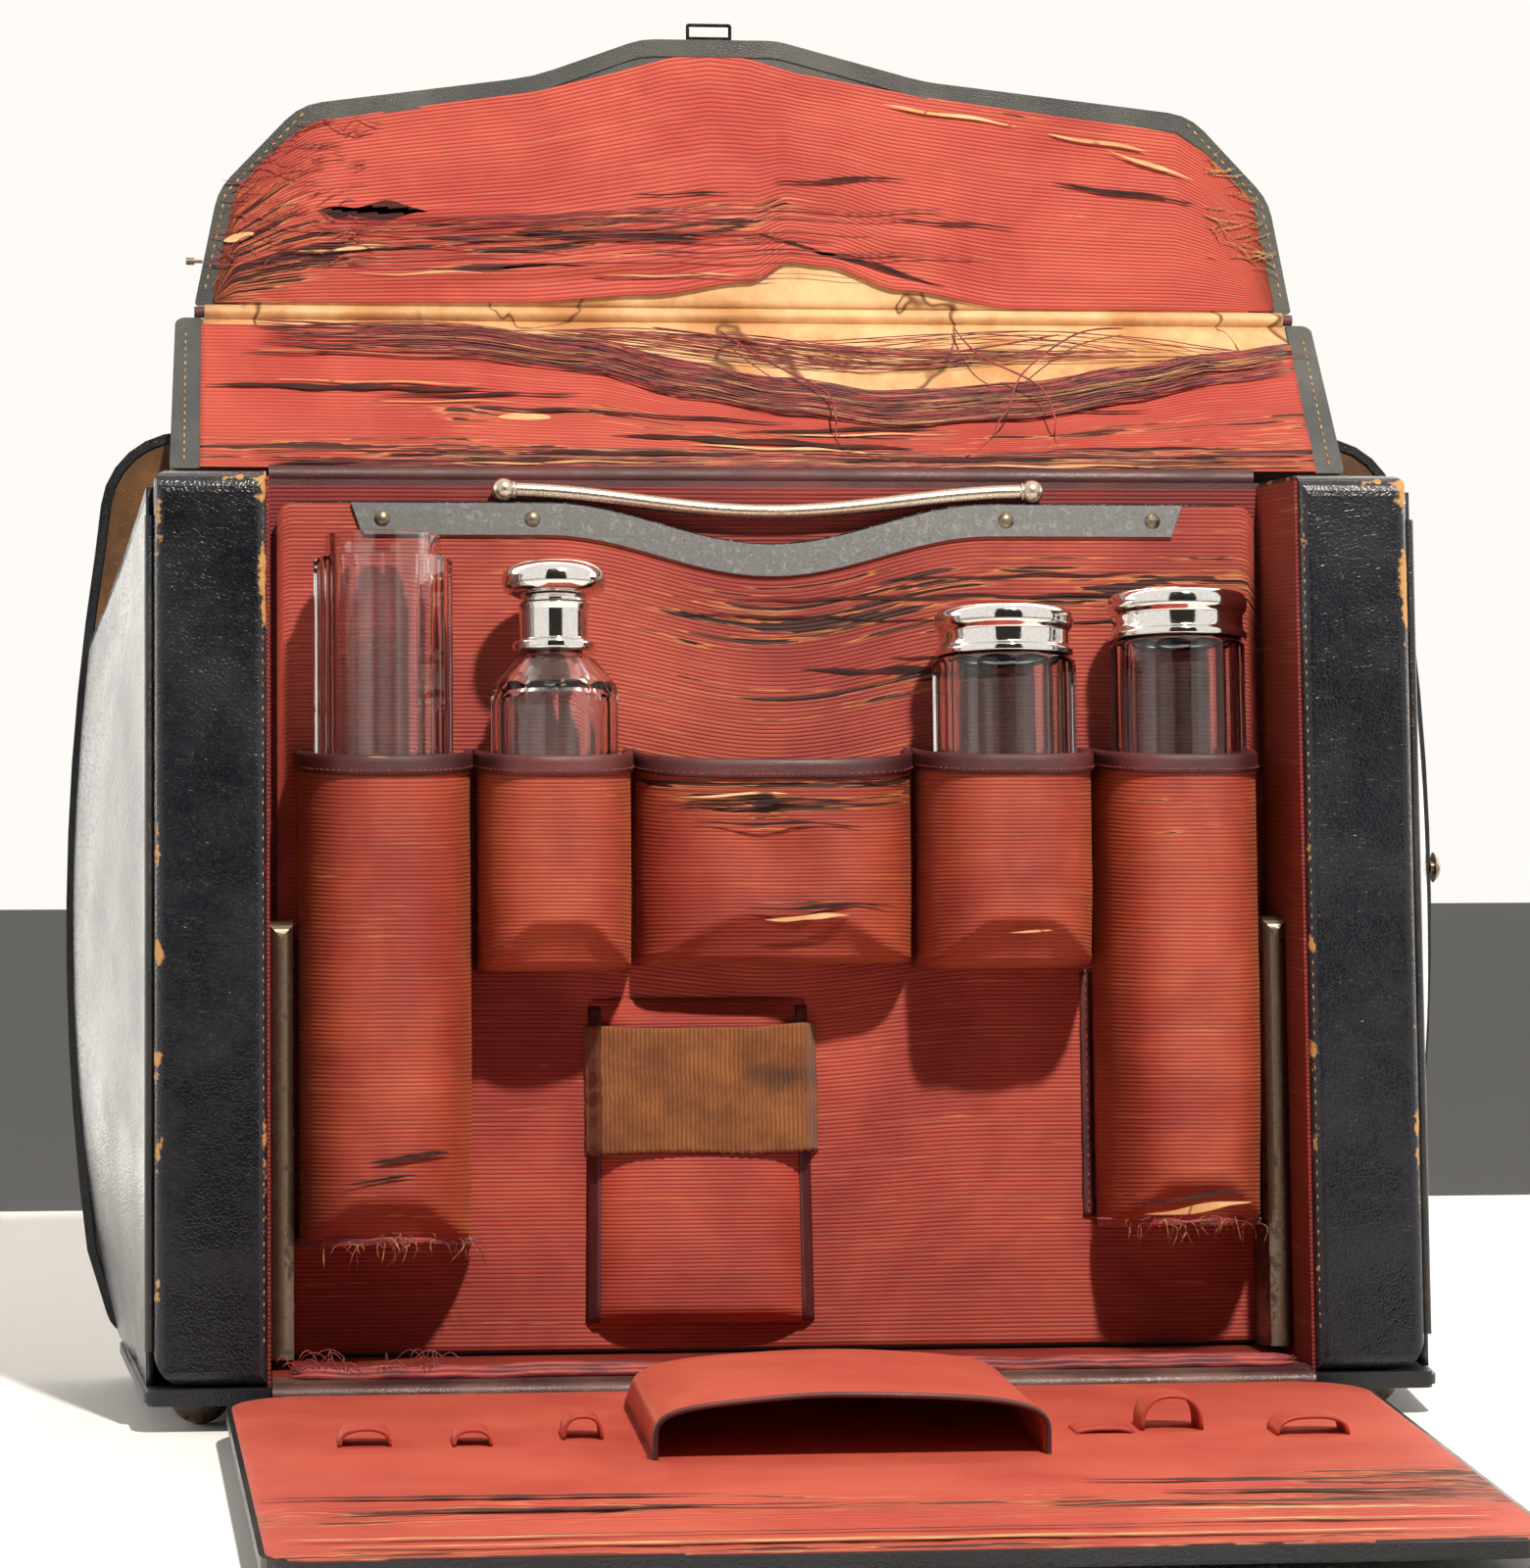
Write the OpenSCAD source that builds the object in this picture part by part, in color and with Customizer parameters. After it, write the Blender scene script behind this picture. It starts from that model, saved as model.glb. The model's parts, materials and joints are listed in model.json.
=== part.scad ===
// Antique fitted dressing case with a leaning, pocketed lift-out panel, a drop front,
// a lid in two folding sections and a soft rear compartment.
// +X is to the right of the open front, the front faces -Y, +Z is up.
// The origin is the centre of the base board's underside.

/* [Case] */
// Half width over the two padded end pillars
pillar_half = 172.5; // [165:0.5:180]
// Half of the clear width between the pillars
opening_half = 141.5; // [138:0.5:145]
// Height of the pillar tops above the underside of the base
pillar_top = 250.4; // [248:0.2:252]
// Depth of the base board, front to back
case_d = 114; // [110:1:124]
// Thickness of the base board
base_t = 5; // [4:0.5:6]
// Angle at which the fitted front leans back
lean = 6.2; // [5:0.1:7]
// Depth of the fitted front compartment, up to the back of its wall
front_d = 58.2; // [57.4:0.2:60]
// Reach of the back panel's bulged sides beyond the pillars
bulge_out = 27; // [23:0.5:34]
// Height of the feet
foot_h = 7; // [5:0.5:9]
// Diameter of the feet
foot_dia = 17; // [12:1:20]

/* [Drop front] */
// Length of the drop front from its hinge to its free edge
drop_len = 246; // [236:1:247]
// Half width of the drop front at the hinge
drop_half = 154; // [148:1:160]
// Half width of the drop front at the free edge
drop_end_half = 144; // [138:1:150]
// Thickness of the drop front with its lining
drop_t = 4.5; // [4:0.1:5]
// Height of the lining surface when the front lies open
fold_z = 3; // [2.5:0.1:3.5]
// Width of the stitched pocket on the drop front
drop_pocket_w = 97; // [80:1:98]
// Height of the stitched pocket above the lining
drop_pocket_h = 16; // [12:0.5:17]

/* [Lid] */
// Clearance of the closed front flap over the drop front
flap_clear = 1.3; // [1.1:0.1:2]
// Distance of the lid's ends inside the outer faces of the pillars
lid_in = 3; // [0.5:0.5:8]
// Thickness of the lid with its lining
lid_t = 4.4; // [4:0.1:4.6]
// Angle of the open lid above the horizontal
lid_open = 47; // [47:0.5:52]
// Half width of the front flap at the fold
flap_half = 163; // [158:1:167]
// Length of the front flap from the fold to its tip
flap_len = 81.5; // [76:0.5:84]
// Thickness of the front flap with its lining
flap_t = 3.2; // [2.6:0.1:3.4]
// Sideways place of the hasp and of the turn button
clasp_x = -12; // [-14:1:14]

/* [Lift-out panel] */
// Clearance between the lift-out panel and each pillar's lining
panel_side = 1.8; // [1.1:0.1:4]
// Height of the panel's foot along the lean
panel_foot = 12; // [12:0.2:13]
// Height of the panel's top edge along the lean
panel_top = 251; // [249:0.2:251.4]
// Depth of the hand dip in the top edge
grip_dip = 11.6; // [9:0.2:13]
// Height of the steel plate's band
plate_h = 9; // [7:0.5:10]
// Distance of the steel plate's ends inside the panel's edges
plate_in = 21.2; // [17.7:0.5:27.7]
// Diameter of the panel's handle bar
bar_dia = 4.4; // [3.6:0.2:4.8]
// Diameter of the balls at the ends of the bar
ball_dia = 6.9; // [6:0.1:7.2]
// Wall of the pockets
cloth_t = 1.4; // [1.2:0.1:1.5]
// Height of the pocket mouths along the lean, at the panel
mouth_w = 180; // [176:1:184]
// Width of the ribbed band over the pouch
band_w = 65.6; // [64:0.2:67]
// Height of the ribbed band
band_h = 36.8; // [30:0.2:38]

/* [Vessels] */
// Distance of the vessels' axes from the front plane
vessel_v = 28; // [27.8:0.1:28.6]
// Play of the tall tube in its pocket, on each side
tube_play = 3.55; // [3.4:0.05:4.6]
// Play of the scent bottle in its pocket, on each side
bottle_play = 2.5; // [2.4:0.05:3.6]
// Play of the short jar in its pocket, on each side
jar_play = 2.55; // [2.45:0.05:3.8]
// Play of the tall jar in its pocket, on each side
tall_jar_play = 1.55; // [1.35:0.05:2.6]
// Number of facets ground on the glass
facets = 12; // [8:1:12]
// Top of the tube along the lean
tube_top = 237.6; // [228:0.2:240]
// Top of the scent bottle's shoulder along the lean
bottle_top = 204.9; // [196:0.2:207]
// Top of the short jar's shoulder along the lean
jar_top = 203.9; // [192:0.2:207]
// Top of the tall jar's shoulder along the lean
tall_jar_top = 208.6; // [196:0.2:212]

/* [Carrying handle] */
// Half distance between the handle's two mounts
mount_half = 52; // [44:1:60]
// Reach of the grip's middle from its pivots
grip_reach = 24; // [21:0.5:26]
// Diameter of the leather grip
grip_dia = 11; // [9:0.5:12]

/* [Hidden] */
$fn = 48;

// General clearances, and the overshoot of cutting tools
gap = 0.4;
soft_gap = 0.3;
over = 1;

// Linings and skins
skin_t = 0.5;
silk_t = 0.8;
floor_t = 0.6;

// Front plane: v runs back square to it, w runs up along it
front_y = -case_d / 2;
function fy(v, w) = front_y + v * cos(lean) + w * sin(lean);
function fz(v, w) = w * cos(lean) - v * sin(lean);
function w_at(v, z) = (z + v * sin(lean)) / cos(lean);
function y_at(v, z) = fy(v, w_at(v, z));

// Widths that follow from the opening and the pillars
panel_half = opening_half - panel_side;
lid_half = pillar_half - lid_in;
bulge_half = pillar_half + bulge_out;

// The panel's fittings are drawn at this half width, and keep their shares of the panel
drawn_half = 139.7;
function px(x) = x * panel_half / drawn_half;

// Depths inside the fitted front
wall_t = 2.8;
wall_v = front_d - wall_t;
wall_lining_t = 0.5;
panel_gap = 0.6;
panel_back = wall_v - wall_lining_t - panel_gap;
panel_t = 3.5;
panel_v = panel_back - panel_t - silk_t;
plate_t = 1.4;
plate_v = panel_v - plate_t;

// Metal guides in front of the panel's edges
guide_front = 26;
guide_in = 6.3;
guide_top = 131.5;
guide_foot = 11.6;
guide_rivet_dia = 3;
guide_rivet_h = 0.4;

// Back panel and its piped rim
rim_d = 7;
rim_t = 2.5;
rim_step = 0.8;
rim_y = case_d / 2 - rim_d;
back_t = 4;
back_y = rim_y + 1.5;
bulge = 8.5;
bulge_z = 120;
bulge_span = 110;
shoulder_r = 24;
back_foot_r = 9;
gusset_t = 2.2;
gusset_top = 246;
gusset_fall = 42;

// Lid hinge axis
lid_axis_gap = 3.2;
lid_axis_y = fy(front_d, w_at(front_d, pillar_top)) + lid_axis_gap;
lid_axis_z = pillar_top + 1.2;
lid_roll_r = 3.1;
fold_roll_r = 1.7;
roll_joint = 0.2;
lid_start = lid_roll_r + roll_joint;
flap_start = fold_roll_r + soft_gap;
lid_margin = 8.5;
flap_closed_v = -gap - drop_t - flap_clear;
lid_len = lid_axis_y - y_at(flap_closed_v, lid_axis_z);
fold_y = lid_axis_y + lid_len * cos(lid_open);
fold_z_lid = lid_axis_z + lid_len * sin(lid_open);

// The open lid leans on the top of the back rim
back_top = lid_axis_z + (rim_y - lid_axis_y) * tan(lid_open) - (lid_t + soft_gap) / cos(lid_open)
    + rim_step;

// Drop front hinge axis, in the plane of its lining
drop_v = -gap;
drop_axis_y = y_at(drop_v, fold_z);
drop_roll_r = 2.5;
drop_start = 0.6;
drop_margin = 5;
drop_skin = 0.3;

// Turn button and the loop that drops over it
loop_w = 13.6;
loop_h = 5;
loop_bar = 1.1;
loop_t = 1.2;
loop_in = 0.7;
loop_s = flap_len + loop_h / 2 - 0.2;
fold_closed_w = w_at(flap_closed_v, lid_axis_z);
button_reach = fold_closed_w - loop_s - w_at(drop_v, fold_z);
button_y = drop_axis_y - button_reach;
lock_t = 1.2;
stem_r = 0.9;
stem_len = 2.4;
button_l = 9;
button_w = 2;
button_t = 1.5;

// Carrying handle
mount_t = 45;
mount_plate = 1;
mount_out = 5;
mount_ear = 3;
pin_r = 1.5;
pin_fit = 0.15;
grip_curve = 4;

// Colours
leather = [0.13, 0.14, 0.17];
worn = [0.55, 0.38, 0.22];
silk = [0.69, 0.22, 0.20];
silk_dark = [0.55, 0.14, 0.14];
binding = [0.34, 0.15, 0.16];
tan_band = [0.65, 0.43, 0.20];
steel = [0.60, 0.60, 0.58];
nickel = [0.70, 0.65, 0.56];
silver = [0.82, 0.82, 0.82];
glass = [0.85, 0.88, 0.90, 0.45];
brass = [0.52, 0.44, 0.33];

// Polygon with filleted corners, from a list of [x, y, radius]
function unit(p) = p / norm(p);
function fillet(p0, p1, p2, r) =
    let (a = unit(p0 - p1), b = unit(p2 - p1), half = acos(a * b) / 2)
    r <= 0 || half > 89.5 ? [p1] :
    let (t = r / tan(half), c = p1 + unit(a + b) * r / sin(half), s = p1 + a * t - c,
        turn = 180 - 2 * half, side = a[0] * b[1] - a[1] * b[0] > 0 ? -1 : 1,
        n = max(2, ceil(turn / 15)))
    [for (i = [0:n]) let (g = side * turn * i / n)
        c + [s[0] * cos(g) - s[1] * sin(g), s[0] * sin(g) + s[1] * cos(g)]];
function rounded(q) = let (n = len(q)) [for (i = [0:n - 1]) let (a = q[(i + n - 1) % n],
    b = q[i], c = q[(i + 1) % n]) each fillet([a[0], a[1]], [b[0], b[1]], [c[0], c[1]], b[2])];

// Placing children
module leaning() {
    translate([0, front_y, 0]) rotate([-lean, 0, 0]) children();
}
// A profile in Y and Z, extruded along X
module across(x0, x1) {
    translate([x0, 0, 0]) rotate([90, 0, 90]) linear_extrude(x1 - x0) children();
}
// A profile in X and Z, extruded from y0 back to y1
module deep(y0, y1) {
    translate([0, y1, 0]) rotate([90, 0, 0]) linear_extrude(y1 - y0) children();
}
// A profile in v and w, extruded along X inside the leaning frame
module profile_across(x0, x1) {
    translate([x0, 0, 0]) rotate([90, 0, 90]) linear_extrude(x1 - x0) children();
}
// The open lid: X, the distance t from the hinge, and o from the lining outwards
module on_lid() {
    translate([0, lid_axis_y, lid_axis_z]) rotate([lid_open, 0, 0]) mirror([0, 0, 1]) children();
}
// The raised flap: X, the distance s from the fold, and o from the lining outwards
module on_flap() {
    translate([0, fold_y, fold_z_lid]) rotate([90, 0, 0]) mirror([0, 0, 1]) children();
}
module both_sides() {
    children();
    mirror([1, 0, 0]) children();
}
module rod(x0, x1, r) {
    translate([x0, 0, 0]) rotate([0, 90, 0]) cylinder(h = x1 - x0, r = r);
}
module dome(r, h) {
    big = (r * r + h * h) / (2 * h);
    reach = asin(min(1, r / big));
    rotate_extrude() polygon(concat([[0, 0]],
        [for (i = [0:8]) let (g = reach * (1 - i / 8)) [big * sin(g), h - big + big * cos(g)]]));
}

// Case
foot_in = 12;
front_foot_y = front_y + 20;
rear_foot_y = case_d / 2 - 18;
base_edge = 2.6;
base_back_half = bulge_half - 14;
skin_margin = 6;

function base_outline(inset) = rounded([
    [-pillar_half - base_edge + inset, front_y, 3],
    [pillar_half + base_edge - inset, front_y, 3],
    [base_back_half - inset, case_d / 2 - inset, 12],
    [-base_back_half + inset, case_d / 2 - inset, 12]]);

module base_board() {
    edge = 0.9;
    color(leather) difference() {
        union() {
            translate([0, 0, skin_t]) linear_extrude(edge) polygon(base_outline(edge));
            translate([0, 0, skin_t + edge]) linear_extrude(base_t - skin_t - 2 * edge)
                polygon(base_outline(0));
            translate([0, 0, base_t - edge]) linear_extrude(edge) polygon(base_outline(edge));
        }
        translate([0, drop_axis_y, fold_z]) rod(-opening_half, opening_half, drop_roll_r + gap);
    }
}

// Leather glued under the base over the turned-in edges, between the feet
module base_skin() {
    x = pillar_half - foot_in - foot_dia / 2 - 2;
    y = case_d / 2 - skin_margin;
    color(leather) linear_extrude(skin_t)
        polygon(rounded([[-x, -y, 6], [x, -y, 6], [x, y, 6], [-x, y, 6]]));
}

module feet() {
    color(brass) for (x = [-1, 1]) {
        for (y = [front_foot_y, rear_foot_y]) {
            translate([x * (pillar_half - foot_in), y, skin_t]) mirror([0, 0, 1])
                dome(foot_dia / 2, foot_h + skin_t);
        }
    }
}

strip_end = 12;
module threshold_strip() {
    color(binding) translate([-opening_half + gap, drop_axis_y + drop_roll_r + 1, base_t])
        cube([2 * (opening_half - gap), strip_end - drop_roll_r - 1, floor_t * 2]);
}

module floor_lining() {
    y0 = drop_axis_y + strip_end + gap;
    y1 = y_at(wall_v - wall_lining_t, base_t) - gap;
    color(silk_dark) translate([-opening_half + gap, y0, base_t])
        cube([2 * (opening_half - gap), y1 - y0, floor_t]);
}

pillar_top_r = 6.5;
pillar_foot_r = 4;
pillar_side_r = 3.5;
pillar_heel_r = 10;
pillar_edge_r = 3;
lining_seat = opening_half + silk_t;

module pillar() {
    intersection() {
        across(lining_seat, pillar_half) polygon(rounded([
            [y_at(0, base_t), base_t, pillar_foot_r],
            [y_at(front_d, base_t), base_t, 0],
            [y_at(front_d, pillar_top), pillar_top, 1],
            [y_at(0, pillar_top), pillar_top, pillar_top_r]]));
        deep(front_y - over, case_d / 2) polygon(rounded([
            [lining_seat - over, base_t, 0],
            [pillar_half, base_t, pillar_heel_r],
            [pillar_half, pillar_top, pillar_side_r],
            [lining_seat - over, pillar_top, 0]]));
        leaning() translate([0, 0, -over]) linear_extrude(pillar_top + 20) polygon(rounded([
            [lining_seat, 0, pillar_edge_r],
            [pillar_half, 0, pillar_edge_r],
            [pillar_half, front_d + over, 0],
            [lining_seat, front_d + over, 0]]));
    }
}
module left_pillar() {
    color(leather) mirror([1, 0, 0]) pillar();
}
module right_pillar() {
    color(leather) pillar();
}

module side_linings() {
    v0 = pillar_edge_r + 0.5;
    top = pillar_top - 1.2;
    color(silk_dark) both_sides() across(opening_half, lining_seat) polygon([
        [y_at(v0, base_t), base_t],
        [y_at(wall_v - wall_lining_t, base_t), base_t],
        [y_at(wall_v - wall_lining_t, top), top],
        [y_at(v0, top), top]]);
}

welt_r = 1.3;
welt_v = 4.6;
module pillar_welts() {
    color(worn) both_sides() leaning()
        translate([pillar_half + welt_r, welt_v, base_t + pillar_heel_r])
            cylinder(h = gusset_top - base_t - pillar_heel_r - 6, r = welt_r);
}

module wall_form(v0, v1, x, z0, z1) {
    across(-x, x) polygon([
        [y_at(v0, z0), z0], [y_at(v1, z0), z0], [y_at(v1, z1), z1], [y_at(v0, z1), z1]]);
}
wall_cap = 1.8;
module compartment_wall() {
    color(leather) wall_form(wall_v, front_d, lining_seat, base_t, pillar_top - wall_cap);
}
module wall_lining() {
    color(silk_dark) wall_form(wall_v - wall_lining_t, wall_v, lining_seat, base_t,
        pillar_top - wall_cap);
}
module wall_top_binding() {
    color(binding) wall_form(wall_v - wall_lining_t, front_d, lining_seat, pillar_top - wall_cap,
        pillar_top);
}

// Outline of the back: bulged sides, rounded shoulders, square foot on the base board
function bulge_x(z) = bulge_half - bulge * pow((z - bulge_z) / bulge_span, 2);
side_z = [for (z = [30:20:230]) z];
function back_outline(inset) = let (
    right = concat([[bulge_x(base_t) - 4 - inset, base_t, back_foot_r]],
        [for (z = side_z) [bulge_x(z) - inset, z, 0]],
        [[bulge_x(back_top) - inset + 2, back_top - inset, shoulder_r - inset]]),
    n = len(right))
    rounded(concat(right, [for (i = [n - 1:-1:0]) [-right[i][0], right[i][1], right[i][2]]]));

module back_panel() {
    color(leather) deep(back_y, back_y + back_t) polygon(back_outline(rim_t));
}
module back_lining() {
    color(worn) deep(back_y - silk_t, back_y) polygon(back_outline(rim_t + gap));
}
module rim_layer(y0, y1, step) {
    deep(y0, y1) difference() {
        polygon(back_outline(step));
        polygon(back_outline(rim_t));
    }
}
module back_rim() {
    color(leather) {
        rim_layer(rim_y, rim_y + rim_step, rim_step);
        rim_layer(rim_y + rim_step, rim_y + rim_d - rim_step, 0);
        rim_layer(rim_y + rim_d - rim_step, rim_y + rim_d, rim_step);
    }
}

// Gusset: a leather end wall that flares from the pillar's front seam to the back rim
gusset_v = 7.2;
gusset_seat = 0.1;
function gusset_ceiling(s) = gusset_top - gusset_fall * pow(s, 1.4);
function gusset_point(s, t, out) = let (
    z = base_t + soft_gap + t * (gusset_ceiling(s) - base_t - soft_gap),
    x0 = pillar_half + gusset_seat, x1 = bulge_x(z) - rim_step - gusset_t - 0.6 - 4 * pow(1 - t, 6),
    y0 = y_at(gusset_v, z), y1 = rim_y - soft_gap)
    [x0 + (x1 - x0) * pow(s, 1.2) + 2.5 * sin(180 * s) * sin(180 * t) + out * gusset_t,
        y0 + s * (y1 - y0), z];
module gusset() {
    m = 8;
    n = 12;
    grid = [for (out = [0, 1]) for (i = [0:m]) for (j = [0:n]) gusset_point(i / m, j / n, out)];
    function id(k, i, j) = k * (m + 1) * (n + 1) + i * (n + 1) + j;
    faces = concat(
        [for (i = [0:m - 1]) for (j = [0:n - 1]) each [
            [id(1, i, j), id(1, i, j + 1), id(1, i + 1, j + 1)],
            [id(1, i, j), id(1, i + 1, j + 1), id(1, i + 1, j)],
            [id(0, i, j), id(0, i + 1, j + 1), id(0, i, j + 1)],
            [id(0, i, j), id(0, i + 1, j), id(0, i + 1, j + 1)]]],
        [for (i = [0:m - 1]) each [
            [id(0, i, 0), id(1, i, 0), id(1, i + 1, 0)],
            [id(0, i, 0), id(1, i + 1, 0), id(0, i + 1, 0)],
            [id(0, i, n), id(1, i + 1, n), id(1, i, n)],
            [id(0, i, n), id(0, i + 1, n), id(1, i + 1, n)]]],
        [for (j = [0:n - 1]) each [
            [id(0, 0, j), id(1, 0, j + 1), id(1, 0, j)],
            [id(0, 0, j), id(0, 0, j + 1), id(1, 0, j + 1)],
            [id(0, m, j), id(1, m, j), id(1, m, j + 1)],
            [id(0, m, j), id(1, m, j + 1), id(0, m, j + 1)]]]);
    polyhedron(points = grid, faces = faces, convexity = 4);
}
module left_gusset() {
    color(leather) mirror([1, 0, 0]) gusset();
}
module right_gusset() {
    color(leather) gusset();
}

// Channel guides on the side linings, which keep the panel back against the wall
module guide() {
    crown = 1.4;
    top_r = 5;
    leaning() intersection() {
        translate([0, 0, guide_foot]) linear_extrude(guide_top - guide_foot) polygon(concat(
            [[opening_half, guide_front + crown]],
            [for (i = [1:7]) [opening_half - guide_in * i / 8,
                guide_front + crown * pow(i / 4 - 1, 2)]],
            [[opening_half - guide_in, guide_front + crown],
            [opening_half - guide_in, panel_v - panel_gap],
            [opening_half, panel_v - panel_gap]]));
        profile_across(opening_half - guide_in - over, opening_half + over) polygon(rounded([
            [guide_front, guide_foot - over, 0],
            [panel_v, guide_foot - over, 0],
            [panel_v, guide_top, 0],
            [guide_front, guide_top, top_r]]));
    }
}
module panel_guides() {
    color(brass) both_sides() guide();
}
guide_rivet_in = 9;
guide_rivet_low = 14.1;
guide_rivet_high = 11;
module guide_rivets() {
    low = guide_foot + guide_rivet_low;
    high = guide_top - guide_rivet_high;
    color(steel) both_sides() leaning() for (w = [low, (low + high) / 2, high]) {
        translate([opening_half - guide_in, guide_front + guide_rivet_in, w]) rotate([0, -90, 0])
            dome(guide_rivet_dia / 2, guide_rivet_h);
    }
}

stud_z = 139;
stud_s = 0.85;
stud_r = 4.4;
stud_pin_r = 2;
stud_pin = 1;
stud_rise = 2.2;
// The pin stands on the highest point of the leather under its rim
module end_stud() {
    t = (stud_z - base_t) / (gusset_ceiling(stud_s) - base_t);
    axis_y = gusset_point(stud_s, t, 1)[1];
    rim_s = stud_s + stud_pin_r / (gusset_point(1, t, 1)[1] - gusset_point(0, t, 1)[1]);
    seat = gusset_point(rim_s, t, 1)[0] + soft_gap;
    color(brass) translate([seat, axis_y, stud_z]) rotate([0, 90, 0]) union() {
        cylinder(h = stud_pin, r = stud_pin_r);
        translate([0, 0, stud_pin]) dome(stud_r, stud_rise);
    }
}

// Drop front, lying open
drop_corner_r = 12;
drop_hinge_r = 22;
function drop_outline(inset) = rounded([
    [-drop_half + inset, drop_axis_y - drop_start - inset, drop_hinge_r - inset],
    [drop_half - inset, drop_axis_y - drop_start - inset, drop_hinge_r - inset],
    [drop_end_half - inset, drop_axis_y - drop_len + inset, drop_corner_r - inset],
    [-drop_end_half + inset, drop_axis_y - drop_len + inset, drop_corner_r - inset]]);

module front_board() {
    bottom = fold_z - drop_t;
    edge = 0.8;
    color(leather) difference() {
        union() {
            translate([0, 0, bottom]) linear_extrude(edge) polygon(drop_outline(edge));
            translate([0, 0, bottom + edge]) linear_extrude(drop_t - edge - drop_skin)
                polygon(drop_outline(0));
        }
        translate([0, 0, fold_z - silk_t]) linear_extrude(silk_t + over)
            polygon(drop_outline(drop_margin));
        translate([0, drop_axis_y, fold_z]) rod(-opening_half, opening_half, drop_roll_r + gap);
    }
}
module front_lining() {
    color(silk) difference() {
        translate([0, 0, fold_z - silk_t]) linear_extrude(silk_t) polygon(drop_outline(drop_margin));
        translate([0, drop_axis_y, fold_z]) rod(-opening_half, opening_half, drop_roll_r + gap);
    }
}

// Pocket on the drop front: an arched mound of cloth, open towards the free edge
pocket_end_y = drop_axis_y - 22;
drop_pocket_d = 100;
pocket_mouth_y = pocket_end_y - drop_pocket_d;
pocket_edge = 0.8;
// Its closed end rises in three steps: [distance from the end, share of the height]
pocket_rise = [[0, 0], [0.08, 0.55], [0.16, 0.86], [0.26, 1]];
function arch(half, h, n, steps) = [for (i = [0:steps]) let (a = 180 * i / steps)
    [half * sign(cos(a)) * pow(abs(cos(a)), 2 / n), h * pow(sin(a), 2 / n)]];
function cut_arch(half, h, n, steps) =
    concat([[half, -over]], arch(half, h, n, steps), [[-half, -over]]);
module mound(inset, mouth) {
    h = drop_pocket_h - inset;
    intersection() {
        translate([0, 0, fold_z]) deep(mouth, pocket_end_y)
            polygon(inset > 0 ? cut_arch(drop_pocket_w / 2 - inset, h, 3, 20)
                : arch(drop_pocket_w / 2, h, 3, 20));
        across(-drop_pocket_w, drop_pocket_w) polygon(concat(
            [[mouth - over, fold_z - over], [pocket_end_y - inset, fold_z - over]],
            [for (q = pocket_rise) [pocket_end_y - inset - drop_pocket_d * q[0], fold_z + h * q[1]]],
            [[mouth - over, fold_z + h]]));
    }
}
module front_pocket() {
    color(silk) difference() {
        mound(0, pocket_mouth_y + pocket_edge);
        mound(cloth_t, pocket_mouth_y - 2 * over);
    }
}
module front_pocket_binding() {
    color(binding) translate([0, 0, fold_z]) deep(pocket_mouth_y, pocket_mouth_y + pocket_edge)
        difference() {
            polygon(arch(drop_pocket_w / 2, drop_pocket_h, 3, 20));
            polygon(cut_arch(drop_pocket_w / 2 - 2 * cloth_t, drop_pocket_h - 2 * cloth_t, 3, 20));
        }
}

// Tool loops: [x, distance from the hinge, width]
loops = [[-118.4, 92, 13.3], [-91.8, 94, 10], [-63.9, 86, 10.4], [67.9, 89, 15], [85.6, 86, 16],
    [119.5, 97, 19]];
loop_rise = 5;
loop_band = 12;
loop_cloth = 1.2;
module tool_loops() {
    color(binding) for (l = loops) {
        translate([l[0], drop_axis_y - l[1], fold_z]) deep(0, loop_band) difference() {
            polygon(arch(l[2] / 2, loop_rise, 2.4, 10));
            polygon(cut_arch(l[2] / 2 - loop_cloth, loop_rise - loop_cloth, 2.4, 10));
        }
    }
}

module hinge_roll() {
    color(binding) translate([0, drop_axis_y, fold_z])
        rod(-opening_half + gap, opening_half - gap, drop_roll_r);
}

lock_half = 12;
lock_half_w = 9;
module lock_plate() {
    color(nickel) translate([clasp_x, button_y, fold_z - drop_t - lock_t]) difference() {
        linear_extrude(lock_t) polygon(rounded([[-lock_half, -lock_half_w, 3],
            [lock_half, -lock_half_w, 3], [lock_half, lock_half_w, 3],
            [-lock_half, lock_half_w, 3]]));
        translate([0, 0, -over]) cylinder(h = lock_t + 2 * over, r = stem_r + pin_fit);
    }
}
module turn_button() {
    color(nickel) translate([clasp_x, button_y, fold_z - drop_t]) mirror([0, 0, 1]) {
        cylinder(h = lock_t + stem_len + button_t / 2, r = stem_r);
        translate([0, 0, lock_t + stem_len]) linear_extrude(button_t) polygon(rounded([
            [-button_l / 2, -button_w / 2, button_w * 0.45], [button_l / 2, -button_w / 2, button_w * 0.45],
            [button_l / 2, button_w / 2, button_w * 0.45], [-button_l / 2, button_w / 2, button_w * 0.45]]));
    }
}

// Lid
lid_end = lid_len - fold_roll_r - roll_joint;
module lid_board() {
    color(leather) on_lid() difference() {
        translate([0, 0, drop_skin]) linear_extrude(lid_t - drop_skin) polygon(rounded([
            [-lid_half, lid_start, 2], [lid_half, lid_start, 2],
            [lid_half - 1, lid_end, 3], [-lid_half + 1, lid_end, 3]]));
        translate([0, 0, drop_skin - over]) linear_extrude(silk_t - drop_skin + over)
            polygon(lid_lining_outline());
    }
}
function lid_lining_outline() = [
    [-lid_half + lid_margin, lid_start - over], [lid_half - lid_margin, lid_start - over],
    [lid_half - lid_margin, lid_end + over], [-lid_half + lid_margin, lid_end + over]];
module lid_lining() {
    x = lid_half - lid_margin;
    color(silk) on_lid() translate([-x, lid_start, 0]) cube([2 * x, lid_end - lid_start, silk_t]);
}
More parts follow.
